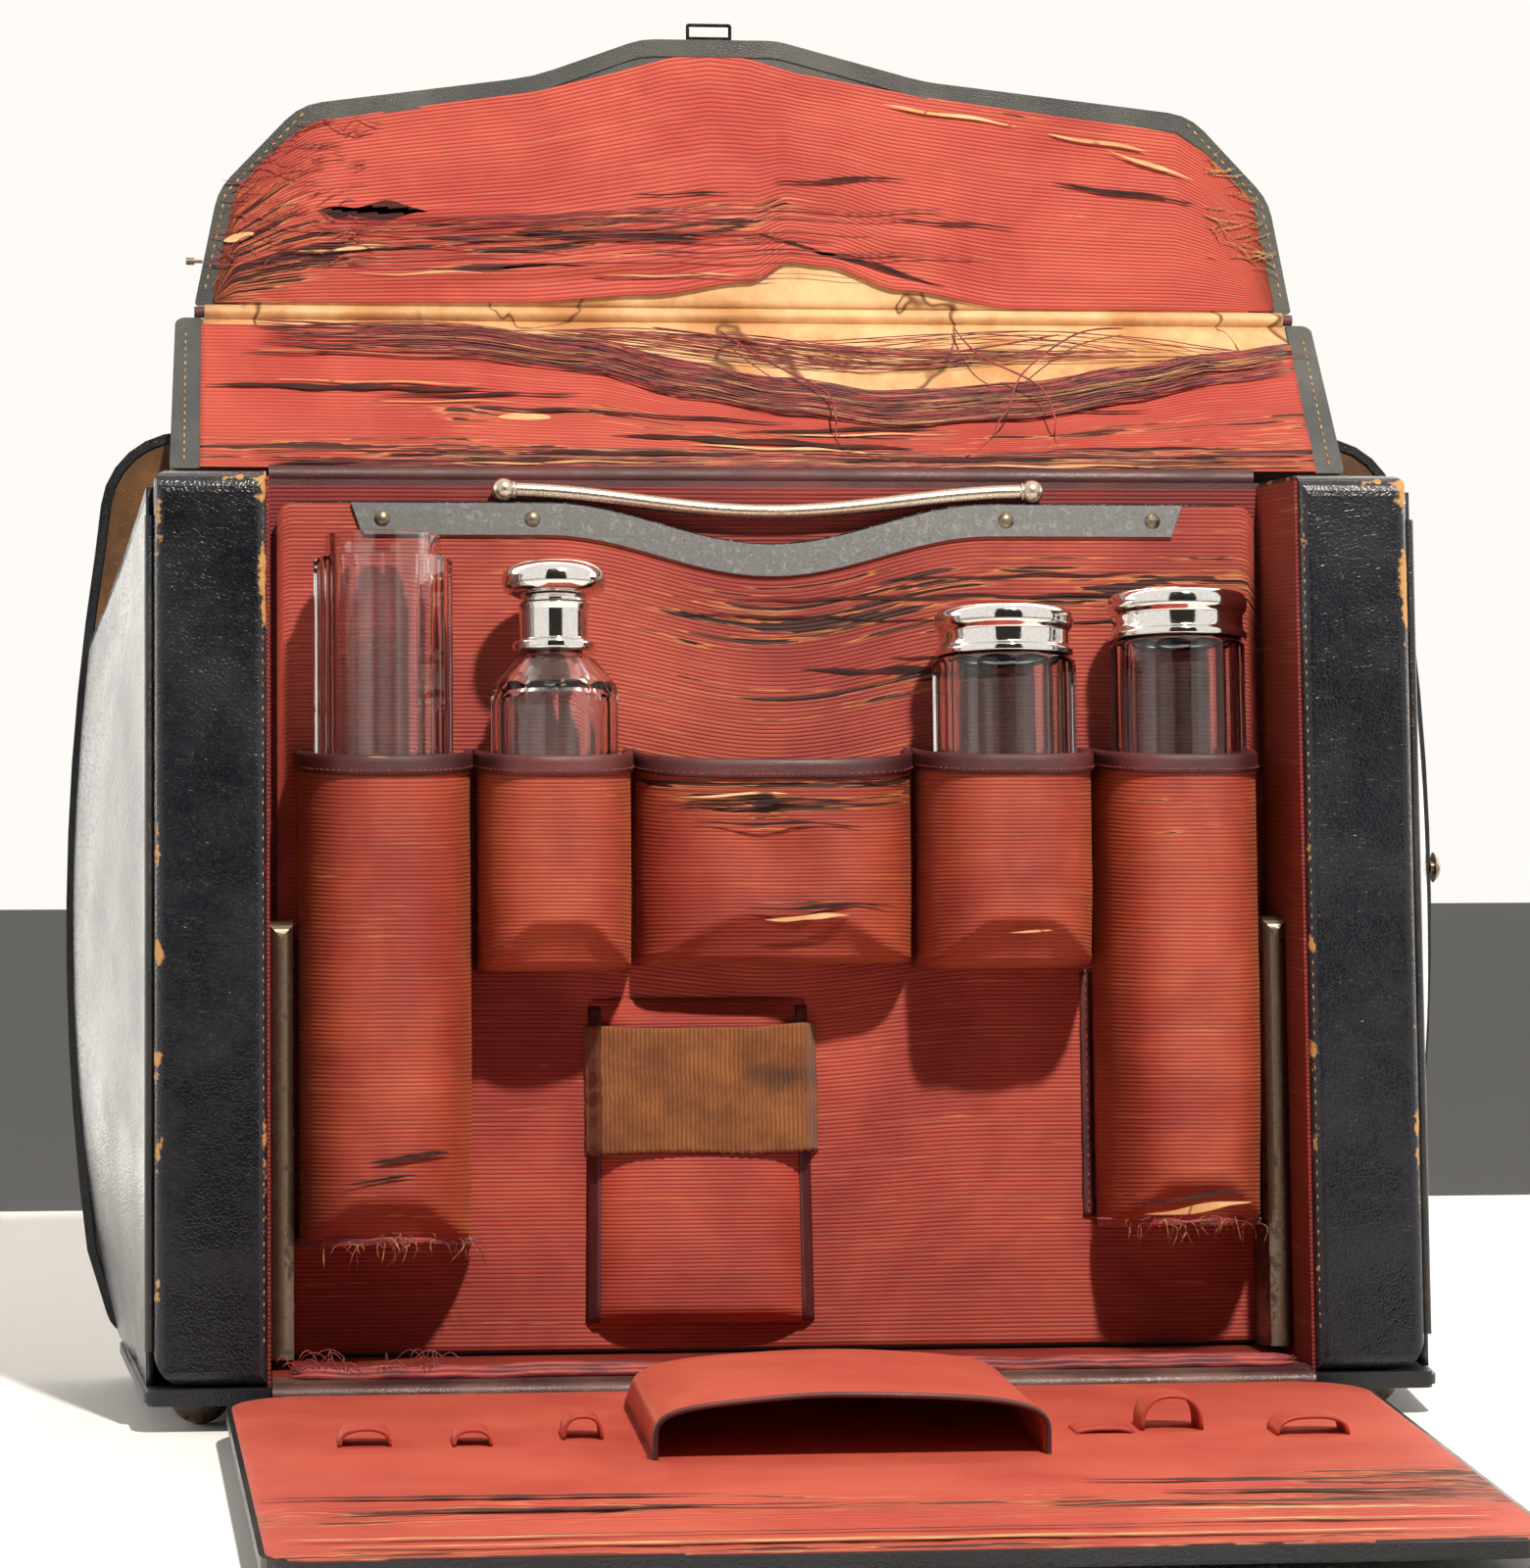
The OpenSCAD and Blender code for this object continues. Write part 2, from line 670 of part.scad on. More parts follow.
module lid_rolls() {
    color(binding) {
        translate([0, lid_axis_y, lid_axis_z]) rod(-opening_half, opening_half, lid_roll_r);
        translate([0, fold_y, fold_z_lid]) rod(-flap_half, flap_half, fold_roll_r);
    }
}
mount_w = 18;
mount_l = 14;
mount_corner_r = 3;
ear_r = 3.4;
module handle_mounts() {
    color(nickel) on_lid() for (x = [-1, 1]) {
        translate([x * mount_half, mount_t, lid_t]) {
            linear_extrude(mount_plate) polygon(rounded([
                [-mount_w / 2, -mount_l / 2, mount_corner_r], [mount_w / 2, -mount_l / 2, mount_corner_r],
                [mount_w / 2, mount_l / 2, mount_corner_r], [-mount_w / 2, mount_l / 2, mount_corner_r]]));
            rotate([90, 0, 90]) translate([0, 0, -mount_ear / 2]) linear_extrude(mount_ear)
                difference() {
                    union() {
                        translate([-ear_r, mount_plate / 2])
                            square([2 * ear_r, mount_out - mount_plate / 2]);
                        translate([0, mount_out]) circle(ear_r);
                    }
                    translate([0, mount_out]) circle(pin_r + pin_fit);
                }
        }
    }
}

// Carrying handle, which hangs from the lid's outer face
handle_y = lid_axis_y + mount_t * cos(lid_open) + (lid_t + mount_out) * sin(lid_open);
handle_z = lid_axis_z + mount_t * sin(lid_open) - (lid_t + mount_out) * cos(lid_open);
arm_x = mount_half - mount_ear / 2 - 1.7;
module handle_ends() {
    color(nickel) translate([0, handle_y, handle_z]) both_sides() {
        rod(arm_x - 1.2, mount_half + mount_ear / 2 + 0.6, pin_r);
        translate([arm_x - 1.2, 0, 0]) rod(0, 2.4, 2.6);
        translate([arm_x, 0, -grip_reach + grip_curve]) cylinder(h = grip_reach - grip_curve, r = 1.2);
    }
}
module handle_grip() {
    half = arm_x + 3;
    sag = grip_curve;
    r_bend = (half * half + sag * sag) / (2 * sag);
    reach = asin((half - grip_dia / 4) / r_bend);
    color(leather) difference() {
        translate([0, handle_y, handle_z - grip_reach + r_bend]) rotate([90, 0, 0])
            rotate([0, 0, -90 - reach]) rotate_extrude(angle = 2 * reach, $fn = 96)
                translate([r_bend, 0]) circle(grip_dia / 2, $fn = 32);
        translate([0, handle_y, handle_z]) both_sides() {
            translate([arm_x, 0, -grip_reach + grip_curve]) cylinder(h = grip_reach, r = 1.2);
        }
    }
}

// Flap
function flap_outline(inset) = rounded([
    [-flap_half + inset, flap_start, 1], [-156 + inset, 36, 18], [-132 + inset, 61 - inset, 18],
    [-58 + clasp_x / 2, 70 - inset, 60],
    [clasp_x - 20, flap_len - inset, 22], [clasp_x + 20, flap_len - inset, 22],
    [58 + clasp_x / 2, 70 - inset, 60], [132 - inset, 61 - inset, 18], [156 - inset, 36, 18],
    [flap_half - inset, flap_start, 1]]);
flap_margin = 5;
module flap_board() {
    color(leather) on_flap() difference() {
        translate([0, 0, drop_skin]) linear_extrude(flap_t - drop_skin) polygon(flap_outline(0));
        translate([0, 0, drop_skin - over]) linear_extrude(silk_t - drop_skin + over)
            polygon(flap_outline(flap_margin));
        hasp_seat();
    }
}
module flap_lining() {
    color(silk) on_flap() difference() {
        linear_extrude(silk_t) polygon(flap_outline(flap_margin));
        hasp_seat();
    }
}
hasp_half = 10.5;
hasp_depth = 9;
module hasp_seat() {
    translate([clasp_x - hasp_half, flap_len - hasp_depth, loop_in - 0.02])
        cube([2 * hasp_half, hasp_depth + over, loop_t + 0.04]);
}
module hasp_plate() {
    color(brass) on_flap() translate([clasp_x, 0, loop_in]) linear_extrude(loop_t) polygon(rounded([
        [-hasp_half, flap_len - hasp_depth, 0], [hasp_half, flap_len - hasp_depth, 0],
        [hasp_half, flap_len - 1, 1], [loop_w / 2 - 1, flap_len - 0.2, 0],
        [-loop_w / 2 + 1, flap_len - 0.2, 0], [-hasp_half, flap_len - 1, 1]]));
}
module hasp_loop() {
    color(silver) on_flap() translate([clasp_x, loop_s, loop_in]) linear_extrude(loop_t) difference() {
        polygon(rounded([[-loop_w / 2, -loop_h / 2, 0], [loop_w / 2, -loop_h / 2, 0],
            [loop_w / 2, loop_h / 2, 1], [-loop_w / 2, loop_h / 2, 1]]));
        square([loop_w - 2 * loop_bar, loop_h - 2 * loop_bar], center = true);
    }
}
flap_stud_s = 15;
flap_stud_r = 1.1;
module flap_stud() {
    x = flap_half - 7 * flap_stud_s / 36;
    color(brass) on_flap() translate([-x - 0.5, flap_stud_s, flap_t / 2]) rotate([0, -90, 0]) union() {
        cylinder(h = 2.6, r = flap_stud_r / 2);
        translate([0, 0, 2.4]) cylinder(h = 2.4, r = flap_stud_r);
    }
}

// Lift-out panel
dip_half = px(63.5);
plate_half = panel_half - plate_in;
function dip(x) = abs(x) >= dip_half ? 0 : grip_dip * (0.5 + 0.5 * cos(180 * x / dip_half));
dip_steps = 24;
dip_line = [for (i = [0:dip_steps]) dip_half * (1 - 2 * i / dip_steps)];
function panel_outline(inset) = concat(
    rounded([[-panel_half + inset, panel_top - inset, 8], [-panel_half + inset, panel_foot + inset, 3],
        [panel_half - inset, panel_foot + inset, 3], [panel_half - inset, panel_top - inset, 8]]),
    [for (x = dip_line) [x, panel_top - inset - dip(x)]]);
module panel_sheet(v0, v1, inset) {
    leaning() translate([0, v1, 0]) rotate([90, 0, 0]) linear_extrude(v1 - v0)
        polygon(panel_outline(inset));
}
module panel_board() {
    color(leather) panel_sheet(panel_v + silk_t, panel_back, 0);
}
module panel_lining() {
    color(silk) panel_sheet(panel_v, panel_v + silk_t, 0.7);
}
plate_slant = 3.2;
plate_top = panel_top - 0.7;
module handle_plate() {
    top = plate_top;
    color(steel) leaning() translate([0, panel_v, 0]) rotate([90, 0, 0]) linear_extrude(plate_t)
        polygon(concat(
            [[-plate_half, top], [-plate_half + plate_slant, top - plate_h]],
            [for (i = [dip_steps:-1:0]) [dip_line[i], top - plate_h - dip(dip_line[i])]],
            [[plate_half - plate_slant, top - plate_h], [plate_half, top]],
            [for (x = dip_line) [x, top - dip(x)]]));
}
plate_rivet_r = 2.3;
plate_rivet_h = 0.9;
end_rivet_in = 8.7;
mid_rivet_out = 4;
module plate_rivets() {
    color(brass) leaning() both_sides() for (x = [dip_half + mid_rivet_out, plate_half - end_rivet_in]) {
        translate([x, plate_v, plate_top - plate_h / 2]) rotate([90, 0, 0])
            dome(plate_rivet_r, plate_rivet_h);
    }
}
ball_x = px(75.4);
bar_sag = 6;
bar_sides = 16;
function bar_fall(x) = bar_sag * (0.5 + 0.5 * cos(180 * min(1, abs(x) / ball_x)));
// The bar is one turned piece: rings of [x, radius] run over a ball, the bar and a ball
module panel_handle() {
    ball_r = ball_dia / 2;
    bar_r = bar_dia / 2;
    neck = 180 - asin(bar_r / ball_r);
    ball = [for (i = [0:8]) let (g = 9 + (neck - 9) * i / 8)
        [ball_x + ball_r * cos(g), ball_r * sin(g)]];
    first = ball_x + ball_r * cos(neck);
    bar = [for (i = [1:23]) [first * (1 - i / 12), bar_r]];
    rings = concat(ball, bar, [for (i = [8:-1:0]) [-ball[i][0], ball[i][1]]]);
    n = len(rings);
    points = [for (q = rings) for (j = [0:bar_sides - 1]) let (g = 360 * j / bar_sides)
        [q[0], q[1] * cos(g), q[1] * sin(g) - bar_fall(q[0])]];
    faces = concat(
        [for (i = [0:n - 2]) for (j = [0:bar_sides - 1])
            let (k = (j + 1) % bar_sides, p = i * bar_sides, q = p + bar_sides)
            each [[p + j, q + k, q + j], [p + j, p + k, q + k]]],
        [for (j = [1:bar_sides - 2]) [0, j + 1, j]],
        [for (j = [1:bar_sides - 2]) let (p = (n - 1) * bar_sides) [p, p + j, p + j + 1]]);
    color(nickel) leaning() translate([0, panel_v + 1, panel_top + ball_dia / 2])
        polyhedron(points = points, faces = faces, convexity = 4);
}

// Pockets: [left edge, right edge, foot along the lean, depth, roundness]
tube_p = [px(-133.8), px(-85.7), 42.6, 43.5, 2.7];
bottle_p = [px(-84.1), px(-41.1), 117.7, 41.8, 3];
wide_p = [px(-39.5), px(38.1), 119.5, 31, 3];
jar_p = [px(39.7), px(88.2), 117.8, 44.4, 3];
tall_p = [px(90.5), px(134.6), 45.4, 43.4, 3.2];
pockets = [tube_p, bottle_p, wide_p, jar_p, tall_p];
mouth_fall = 6;
foot_rise = 10;
bind_t = 0.7;
bind_h = 4.6;
function middle(p) = (p[0] + p[1]) / 2;
function pocket_plan(p, inset, root) = let (half = (p[1] - p[0]) / 2 - inset, d = p[3] - inset)
    concat([[middle(p) + half, panel_v + root]],
        [for (i = [0:28]) let (a = 180 * i / 28)
            [middle(p) + half * sign(cos(a)) * pow(abs(cos(a)), 2 / p[4]),
                panel_v - d * pow(sin(a), 2 / p[4])]],
        [[middle(p) - half, panel_v + root]]);
// Profile in v and w between two sloping lines
module slice(p, low, low_rise, high, high_fall) {
    far = panel_v - p[3] - 2;
    k = (p[3] + 2) / p[3];
    leaning() profile_across(p[0] - 3, p[1] + 3) polygon([
        [panel_v + over, low - low_rise * over / p[3]], [panel_v + over, high + high_fall * over / p[3]],
        [far, high - high_fall * k], [far, low + low_rise * k]]);
}
module prism(p, inset, root) {
    leaning() linear_extrude(panel_top) polygon(pocket_plan(p, inset, root));
}
module pocket(p) {
    difference() {
        intersection() {
            prism(p, 0, 0);
            slice(p, p[2], foot_rise, mouth_w, mouth_fall);
        }
        intersection() {
            prism(p, cloth_t, over);
            slice(p, p[2] + cloth_t, foot_rise, mouth_w + 20, mouth_fall);
        }
    }
}
module pocket_rim(p) {
    difference() {
        intersection() {
            prism(p, -bind_t, 0);
            slice(p, mouth_w - bind_h, -mouth_fall, mouth_w + 0.9, mouth_fall);
        }
        intersection() {
            prism(p, 0, over);
            slice(p, 0, 0, mouth_w, mouth_fall);
        }
        prism(p, cloth_t + 0.3, over);
    }
}
module tube_pocket() {
    color(silk) pocket(tube_p);
}
module bottle_pocket() {
    color(silk) pocket(bottle_p);
}
module wide_pocket() {
    color(silk) pocket(wide_p);
}
module jar_pocket() {
    color(silk) pocket(jar_p);
}
module tall_jar_pocket() {
    color(silk) pocket(tall_p);
}

// Pouch under the wide pocket, held by a ribbed band
pouch_x0 = px(-51.7);
pouch_x1 = px(9.2);
pouch_foot = 19.2;
pouch_head = 110;
pouch_deep = 9.8;
pouch_foot_deep = 6;
pouch_line = [[panel_v, pouch_head], [panel_v - 5, pouch_head - 0.6],
    [panel_v - pouch_deep, pouch_head - 5], [panel_v - pouch_deep, 60],
    [panel_v - pouch_deep + 1.5, 40], [panel_v - pouch_foot_deep, pouch_foot + 3],
    [panel_v - pouch_foot_deep + 2.5, pouch_foot], [panel_v, pouch_foot]];
module pouch() {
    color(silk) leaning() profile_across(pouch_x0, pouch_x1) polygon(pouch_line);
}
band_mid = (pouch_x0 + pouch_x1) / 2;
band_foot = 66.5;
band_t = 1;
band_deep = pouch_deep + 0.3 + band_t;
module elastic_band() {
    color(tan_band) leaning() translate([band_mid, panel_v, band_foot]) linear_extrude(band_h)
        difference() {
            polygon(rounded([[-band_w / 2, 0, 0], [-band_w / 2, -band_deep, 3],
                [band_w / 2, -band_deep, 3], [band_w / 2, 0, 0]]));
            polygon(rounded([[-band_w / 2 + band_t, over, 0],
                [-band_w / 2 + band_t, band_t - band_deep, 2.2],
                [band_w / 2 - band_t, band_t - band_deep, 2.2], [band_w / 2 - band_t, over, 0]]));
        }
}
// The seam between the two right-hand pockets, and every pocket's bound mouth
seam_x = px(86.6);
seam_w = 3.4;
module pocket_bindings() {
    color(binding) {
        for (p = pockets) {
            pocket_rim(p);
        }
        leaning() translate([seam_x, panel_v - silk_t, 48]) cube([seam_w, silk_t, 69]);
    }
}

// Vessels, standing on the front of their pockets' sloping feet
function stand_w(p, r) = p[2] + cloth_t + foot_rise * (panel_v - vessel_v + r) / p[3] + soft_gap;
function vessel_dia(p, play) = p[1] - p[0] - 2 * (cloth_t + play);
tube_dia = vessel_dia(tube_p, tube_play);
bottle_dia = vessel_dia(bottle_p, bottle_play);
jar_dia = vessel_dia(jar_p, jar_play);
tall_jar_dia = vessel_dia(tall_p, tall_jar_play);
module at_vessel(p, shift) {
    leaning() translate([middle(p) + shift, vessel_v, 0]) children();
}
tube_shift = -0.4;
bottle_shift = -0.3;
jar_shift = -0.8;
tall_shift = 0;
tube_neck_r = 16;
tube_neck_h = 6.5;
tube_bore_r = 13.4;
glass_foot = 4;
module tube_glass() {
    foot = stand_w(tube_p, tube_dia / 2);
    color(glass) at_vessel(tube_p, tube_shift) difference() {
        union() {
            translate([0, 0, foot])
                cylinder(h = tube_top - tube_neck_h - foot, r = tube_dia / 2, $fn = facets);
            translate([0, 0, foot + glass_foot]) cylinder(h = tube_top - foot - glass_foot, r = tube_neck_r);
        }
        translate([0, 0, foot + glass_foot]) cylinder(h = tube_top - foot, r = tube_bore_r);
    }
}

bottle_neck_r = 8;
bottle_neck_h = 14;
bottle_mouth_r = 5.4;
bottle_wall = 3;
shoulder_h = 9;
module bottle_glass() {
    r = bottle_dia / 2;
    foot = stand_w(bottle_p, r);
    inner = r * cos(180 / facets) - bottle_wall;
    color(glass) at_vessel(bottle_p, bottle_shift) difference() {
        union() {
            intersection() {
                translate([0, 0, foot]) cylinder(h = bottle_top - foot, r = r, $fn = facets);
                rotate_extrude() polygon(rounded([[0, foot, 0], [r, foot, 0],
                    [r, bottle_top - shoulder_h, 6], [bottle_neck_r + 2, bottle_top, 6],
                    [0, bottle_top, 0]]));
            }
            translate([0, 0, bottle_top - over]) cylinder(h = bottle_neck_h + over, r = bottle_neck_r);
        }
        rotate_extrude() polygon(rounded([[0, foot + glass_foot, 0], [inner, foot + glass_foot, 3],
            [inner, bottle_top - shoulder_h - 3, 5], [bottle_mouth_r, bottle_top - 2, 3],
            [bottle_mouth_r, bottle_top + bottle_neck_h + over, 0],
            [0, bottle_top + bottle_neck_h + over, 0]]));
    }
}
collar_r = 10.15;
collar_h = 13.5;
module bottle_collar() {
    color(silver) at_vessel(bottle_p, bottle_shift) translate([0, 0, bottle_top + 0.5])
        rotate_extrude() polygon(rounded([[bottle_neck_r, 0, 0], [collar_r + 1.6, 0, 1],
            [collar_r + 1.6, 2.6, 1], [collar_r - 0.6, 3.4, 0.5], [collar_r - 0.6, collar_h - 2, 1],
            [collar_r, collar_h, 0.3], [bottle_neck_r, collar_h, 0]]));
}
cap_r = 14.5;
cap_h = 12;
module bottle_cap() {
    seat = bottle_top + bottle_neck_h + soft_gap;
    color(silver) at_vessel(bottle_p, bottle_shift) translate([0, 0, seat])
        rotate_extrude() polygon(rounded([[0, -10, 0], [bottle_mouth_r - 0.5, -10, 1],
            [bottle_mouth_r - 0.3, 0, 0], [collar_r - 1, 0, 0.4], [collar_r - 1, 1.6, 0.6],
            [cap_r, 4, 2], [cap_r, 7.6, 2.5], [cap_r - 6, cap_h - 0.6, 6], [0, cap_h, 0]]));
}

// A faceted jar with a plain neck under its lid
jar_neck_h = 9.5;
lid_fit = 0.35;
lid_skin = 0.9;
lid_waist = 1.2;
neck_wall = 2.6;
lid_reach = 0.5;
jar_lid_r = tall_jar_dia / 2 + lid_reach;
jar_lid_h = 14.6;
jar_lid_in = jar_lid_r - lid_waist - lid_skin;
jar_neck_r = jar_lid_in - lid_fit;
module jar_body(p, shift, dia, top) {
    foot = stand_w(p, dia / 2);
    bore = jar_neck_r - neck_wall;
    at_vessel(p, shift) difference() {
        union() {
            intersection() {
                translate([0, 0, foot]) cylinder(h = top - foot, r = dia / 2, $fn = facets);
                rotate_extrude() polygon(rounded([[0, foot, 0], [dia / 2, foot, 1.5],
                    [dia / 2, top, 2.5], [0, top, 0]]));
            }
            translate([0, 0, top - over]) cylinder(h = jar_neck_h + over, r = jar_neck_r);
        }
        rotate_extrude() polygon(rounded([[0, foot + glass_foot, 0], [bore, foot + glass_foot, 4],
            [bore, top + jar_neck_h + over, 0], [0, top + jar_neck_h + over, 0]]));
    }
}
module jar_cover(p, shift, top) {
    at_vessel(p, shift) translate([0, 0, top + soft_gap]) difference() {
        rotate_extrude() polygon(rounded([[0, 0, 0], [jar_lid_r - 0.2, 0, 0.6],
            [jar_lid_r - 0.2, 3, 0.8], [jar_lid_r - lid_waist, 3.8, 0.4],
            [jar_lid_r - lid_waist, 8.4, 1],
            [jar_lid_r, 9.2, 0.8], [jar_lid_r, 12, 1.6], [jar_lid_r - 6, jar_lid_h - 0.6, 8],
            [0, jar_lid_h, 0]]));
        rotate_extrude() polygon([[0, -over], [jar_lid_in, -over],
            [jar_lid_in, jar_neck_h + soft_gap], [0, jar_neck_h + soft_gap + 1.5]]);
    }
}
module jar_glass() {
    color(glass) jar_body(jar_p, jar_shift, jar_dia, jar_top);
}
module jar_lid() {
    color(silver) jar_cover(jar_p, jar_shift, jar_top);
}
module tall_jar_glass() {
    color(glass) jar_body(tall_p, tall_shift, tall_jar_dia, tall_jar_top);
}
module tall_jar_lid() {
    color(silver) jar_cover(tall_p, tall_shift, tall_jar_top);
}

base_board();
base_skin();
feet();
floor_lining();
threshold_strip();
left_pillar();
right_pillar();
side_linings();
pillar_welts();
compartment_wall();
wall_lining();
wall_top_binding();
left_gusset();
right_gusset();
back_panel();
back_lining();
back_rim();
panel_guides();
guide_rivets();
end_stud();
front_board();
front_lining();
front_pocket();
front_pocket_binding();
tool_loops();
hinge_roll();
lock_plate();
turn_button();
lid_board();
lid_lining();
lid_rolls();
handle_mounts();
handle_grip();
handle_ends();
flap_board();
flap_lining();
hasp_plate();
hasp_loop();
flap_stud();
panel_board();
panel_lining();
handle_plate();
plate_rivets();
panel_handle();
tube_pocket();
bottle_pocket();
wide_pocket();
jar_pocket();
tall_jar_pocket();
pocket_bindings();
pouch();
elastic_band();
tube_glass();
bottle_glass();
bottle_collar();
bottle_cap();
jar_glass();
jar_lid();
tall_jar_glass();
tall_jar_lid();
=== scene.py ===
"""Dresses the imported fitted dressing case: torn ribbed silk, worn black leather, cut glass and plated fittings."""
import json
import math
import random

import bmesh
import bpy
from mathutils import Matrix, Vector, noise


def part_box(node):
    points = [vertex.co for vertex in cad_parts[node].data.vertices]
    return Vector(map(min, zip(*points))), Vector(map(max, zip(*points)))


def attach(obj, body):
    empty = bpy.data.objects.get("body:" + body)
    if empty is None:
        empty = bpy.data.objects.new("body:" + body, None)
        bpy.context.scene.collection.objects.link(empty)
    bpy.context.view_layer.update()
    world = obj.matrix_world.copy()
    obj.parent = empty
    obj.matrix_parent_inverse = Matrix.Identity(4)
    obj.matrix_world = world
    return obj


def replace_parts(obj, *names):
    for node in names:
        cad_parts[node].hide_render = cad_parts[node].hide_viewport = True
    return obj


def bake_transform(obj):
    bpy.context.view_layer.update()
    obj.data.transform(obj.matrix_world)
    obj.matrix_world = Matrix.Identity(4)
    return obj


bl_info = {
    "name": "Fitted Dressing Case",
    "version": (1, 0, 0),
    "blender": (4, 5, 0),
    "location": "View3D > Sidebar > Dressing Case",
    "description": "Builds the silk, leather, glass and stage of an antique fitted dressing case",
    "category": "Object",
}

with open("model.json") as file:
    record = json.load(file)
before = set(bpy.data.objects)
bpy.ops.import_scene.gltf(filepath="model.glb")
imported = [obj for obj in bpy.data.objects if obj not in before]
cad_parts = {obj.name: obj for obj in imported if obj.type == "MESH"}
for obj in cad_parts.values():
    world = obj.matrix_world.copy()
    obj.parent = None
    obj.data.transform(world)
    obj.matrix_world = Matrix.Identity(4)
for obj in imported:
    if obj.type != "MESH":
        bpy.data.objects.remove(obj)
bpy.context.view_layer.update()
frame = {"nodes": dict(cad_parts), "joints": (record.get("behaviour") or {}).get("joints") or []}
NODES = frame["nodes"]
JOINTS = {j["name"]: j for j in frame["joints"]}
MM = 0.001
FRONTWARDS = Vector((0, -1, 0))
LID_HALF, FLAP_HALF = 161, 157.5    # half widths of the two linings
PANEL_TOP = 251                     # height of the panel along the lean
FOCAL, PHOTO_WIDTH = 4940, 1600     # of the photograph, in its pixels

# Frames of the case's surfaces, in millimetres. Each takes x and two distances, and gives metres.
LEAN = math.atan2(JOINTS["panel_lift"]["axis"][1], JOINTS["panel_lift"]["axis"][2])
FRONT_Y = -57.0
DROP_Y, DROP_Z = (1000 * c for c in JOINTS["drop_front_hinge"]["pos_m"][1:])
LID_Y, LID_Z = (1000 * c for c in JOINTS["lid_hinge"]["pos_m"][1:])
FOLD_Y, FOLD_Z = (1000 * c for c in JOINTS["flap_fold"]["pos_m"][1:])
LID_TILT = math.atan2(FOLD_Z - LID_Z, FOLD_Y - LID_Y)
LID_LEN = math.hypot(FOLD_Z - LID_Z, FOLD_Y - LID_Y)


def leaning(x, v, w):
    """v runs back from the front plane and w up along it."""
    s, c = math.sin(LEAN), math.cos(LEAN)
    return Vector((x, FRONT_Y + v * c + w * s, w * c - v * s)) * MM


def on_lid(x, t, o):
    """t runs up the open lid from its hinge and o outwards from its lining."""
    s, c = math.sin(LID_TILT), math.cos(LID_TILT)
    return Vector((x, LID_Y + t * c + o * s, LID_Z + t * s - o * c)) * MM


def on_flap(x, s, o):
    """s runs up the flap from the fold and o back from its lining."""
    return Vector((x, FOLD_Y + o, FOLD_Z + s)) * MM


def on_drop(x, d, o):
    """d runs out along the drop front from its hinge and o up from its lining."""
    return Vector((x, DROP_Y - d, DROP_Z + o)) * MM


# Small helpers for shapes
def step(low, high, value):
    t = min(1.0, max(0.0, (value - low) / (high - low)))
    return t * t * (3 - 2 * t)


def mix(a, b, t):
    return a + (b - a) * t


def bump(value, centre, reach):
    return math.exp(-((value - centre) / reach) ** 2)


def through(points, x):
    """Height at x of the line through a list of points, rounded between them."""
    if x <= points[0][0]:
        return points[0][1]
    for (xa, ya), (xb, yb) in zip(points, points[1:]):
        if x <= xb:
            return mix(ya, yb, step(xa, xb, x))
    return points[-1][1]


def rough(x, y, size, seed=0.0):
    """Smooth noise from -1 to 1 with features of that size."""
    return noise.noise(Vector((x / size, y / size, seed)))


def solid(name, bm, finish):
    """Makes an object of the finished mesh."""
    mesh = bpy.data.meshes.new(name)
    bm.to_mesh(mesh)
    bm.free()
    mesh.materials.append(finish)
    obj = bpy.data.objects.new(name, mesh)
    bpy.context.scene.collection.objects.link(obj)
    return obj


def piece(name, bm, finish, body):
    """Makes a smooth object of the finished mesh, and lets it ride on its body."""
    obj = solid(name, bm, finish)
    obj.data.polygons.foreach_set("use_smooth", [True] * len(obj.data.polygons))
    if body:
        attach(obj, body)
    return obj


def weave_grid(bm, columns, rows, place, cloth=None, torn=None):
    """Adds a grid whose corners from 0 to 1 are put in place, with cloth coordinates in metres."""
    layer = bm.loops.layers.uv.get("cloth") or bm.loops.layers.uv.new("cloth")
    wear = bm.verts.layers.float.get("torn") or bm.verts.layers.float.new("torn")
    made = bmesh.ops.create_grid(bm, x_segments=columns, y_segments=rows, size=0.5)["verts"]
    flat = {v: (v.co.x + 0.5, v.co.y + 0.5) for v in made}
    for v, (a, b) in flat.items():
        v.co = place(a, b)
        if torn:
            v[wear] = torn(a, b)
    for face in {f for v in made for f in v.link_faces}:
        for loop in face.loops:
            a, b = flat[loop.vert]
            loop[layer].uv = cloth(a, b) if cloth else (a, b)


def strand(bm, path, radius, sides=3, segments=16, taper=0.15):
    """Adds a thread: a grid rolled round a path that runs from 0 to 1, closed at both tips."""
    layer = bm.loops.layers.uv.get("cloth") or bm.loops.layers.uv.new("cloth")
    made = bmesh.ops.create_grid(bm, x_segments=segments, y_segments=sides, size=0.5)["verts"]
    for v in made:
        a, turn = v.co.x + 0.5, 2 * math.pi * (v.co.y + 0.5)
        here = path(a)
        along = path(min(1, a + 0.01)) - path(max(0, a - 0.01))
        side = along.cross(Vector((0.13, 0.27, 0.95)))
        side = side.normalized() if side.length > 1e-9 else Vector((1, 0, 0))
        up = side.cross(along).normalized()
        r = radius * MM * min(1, min(a, 1 - a) / taper) if taper else radius * MM
        v.co = here + side * (r * math.cos(turn)) + up * (r * math.sin(turn))
    for face in {f for v in made for f in v.link_faces}:
        for loop in face.loops:
            loop[layer].uv = (loop.vert.co.x, loop.vert.co.z)


def close_up(bm, reach=1e-6):
    """Joins the points that meet and turns the faces outwards."""
    bmesh.ops.remove_doubles(bm, verts=bm.verts[:], dist=reach)
    bmesh.ops.recalc_face_normals(bm, faces=bm.faces[:])


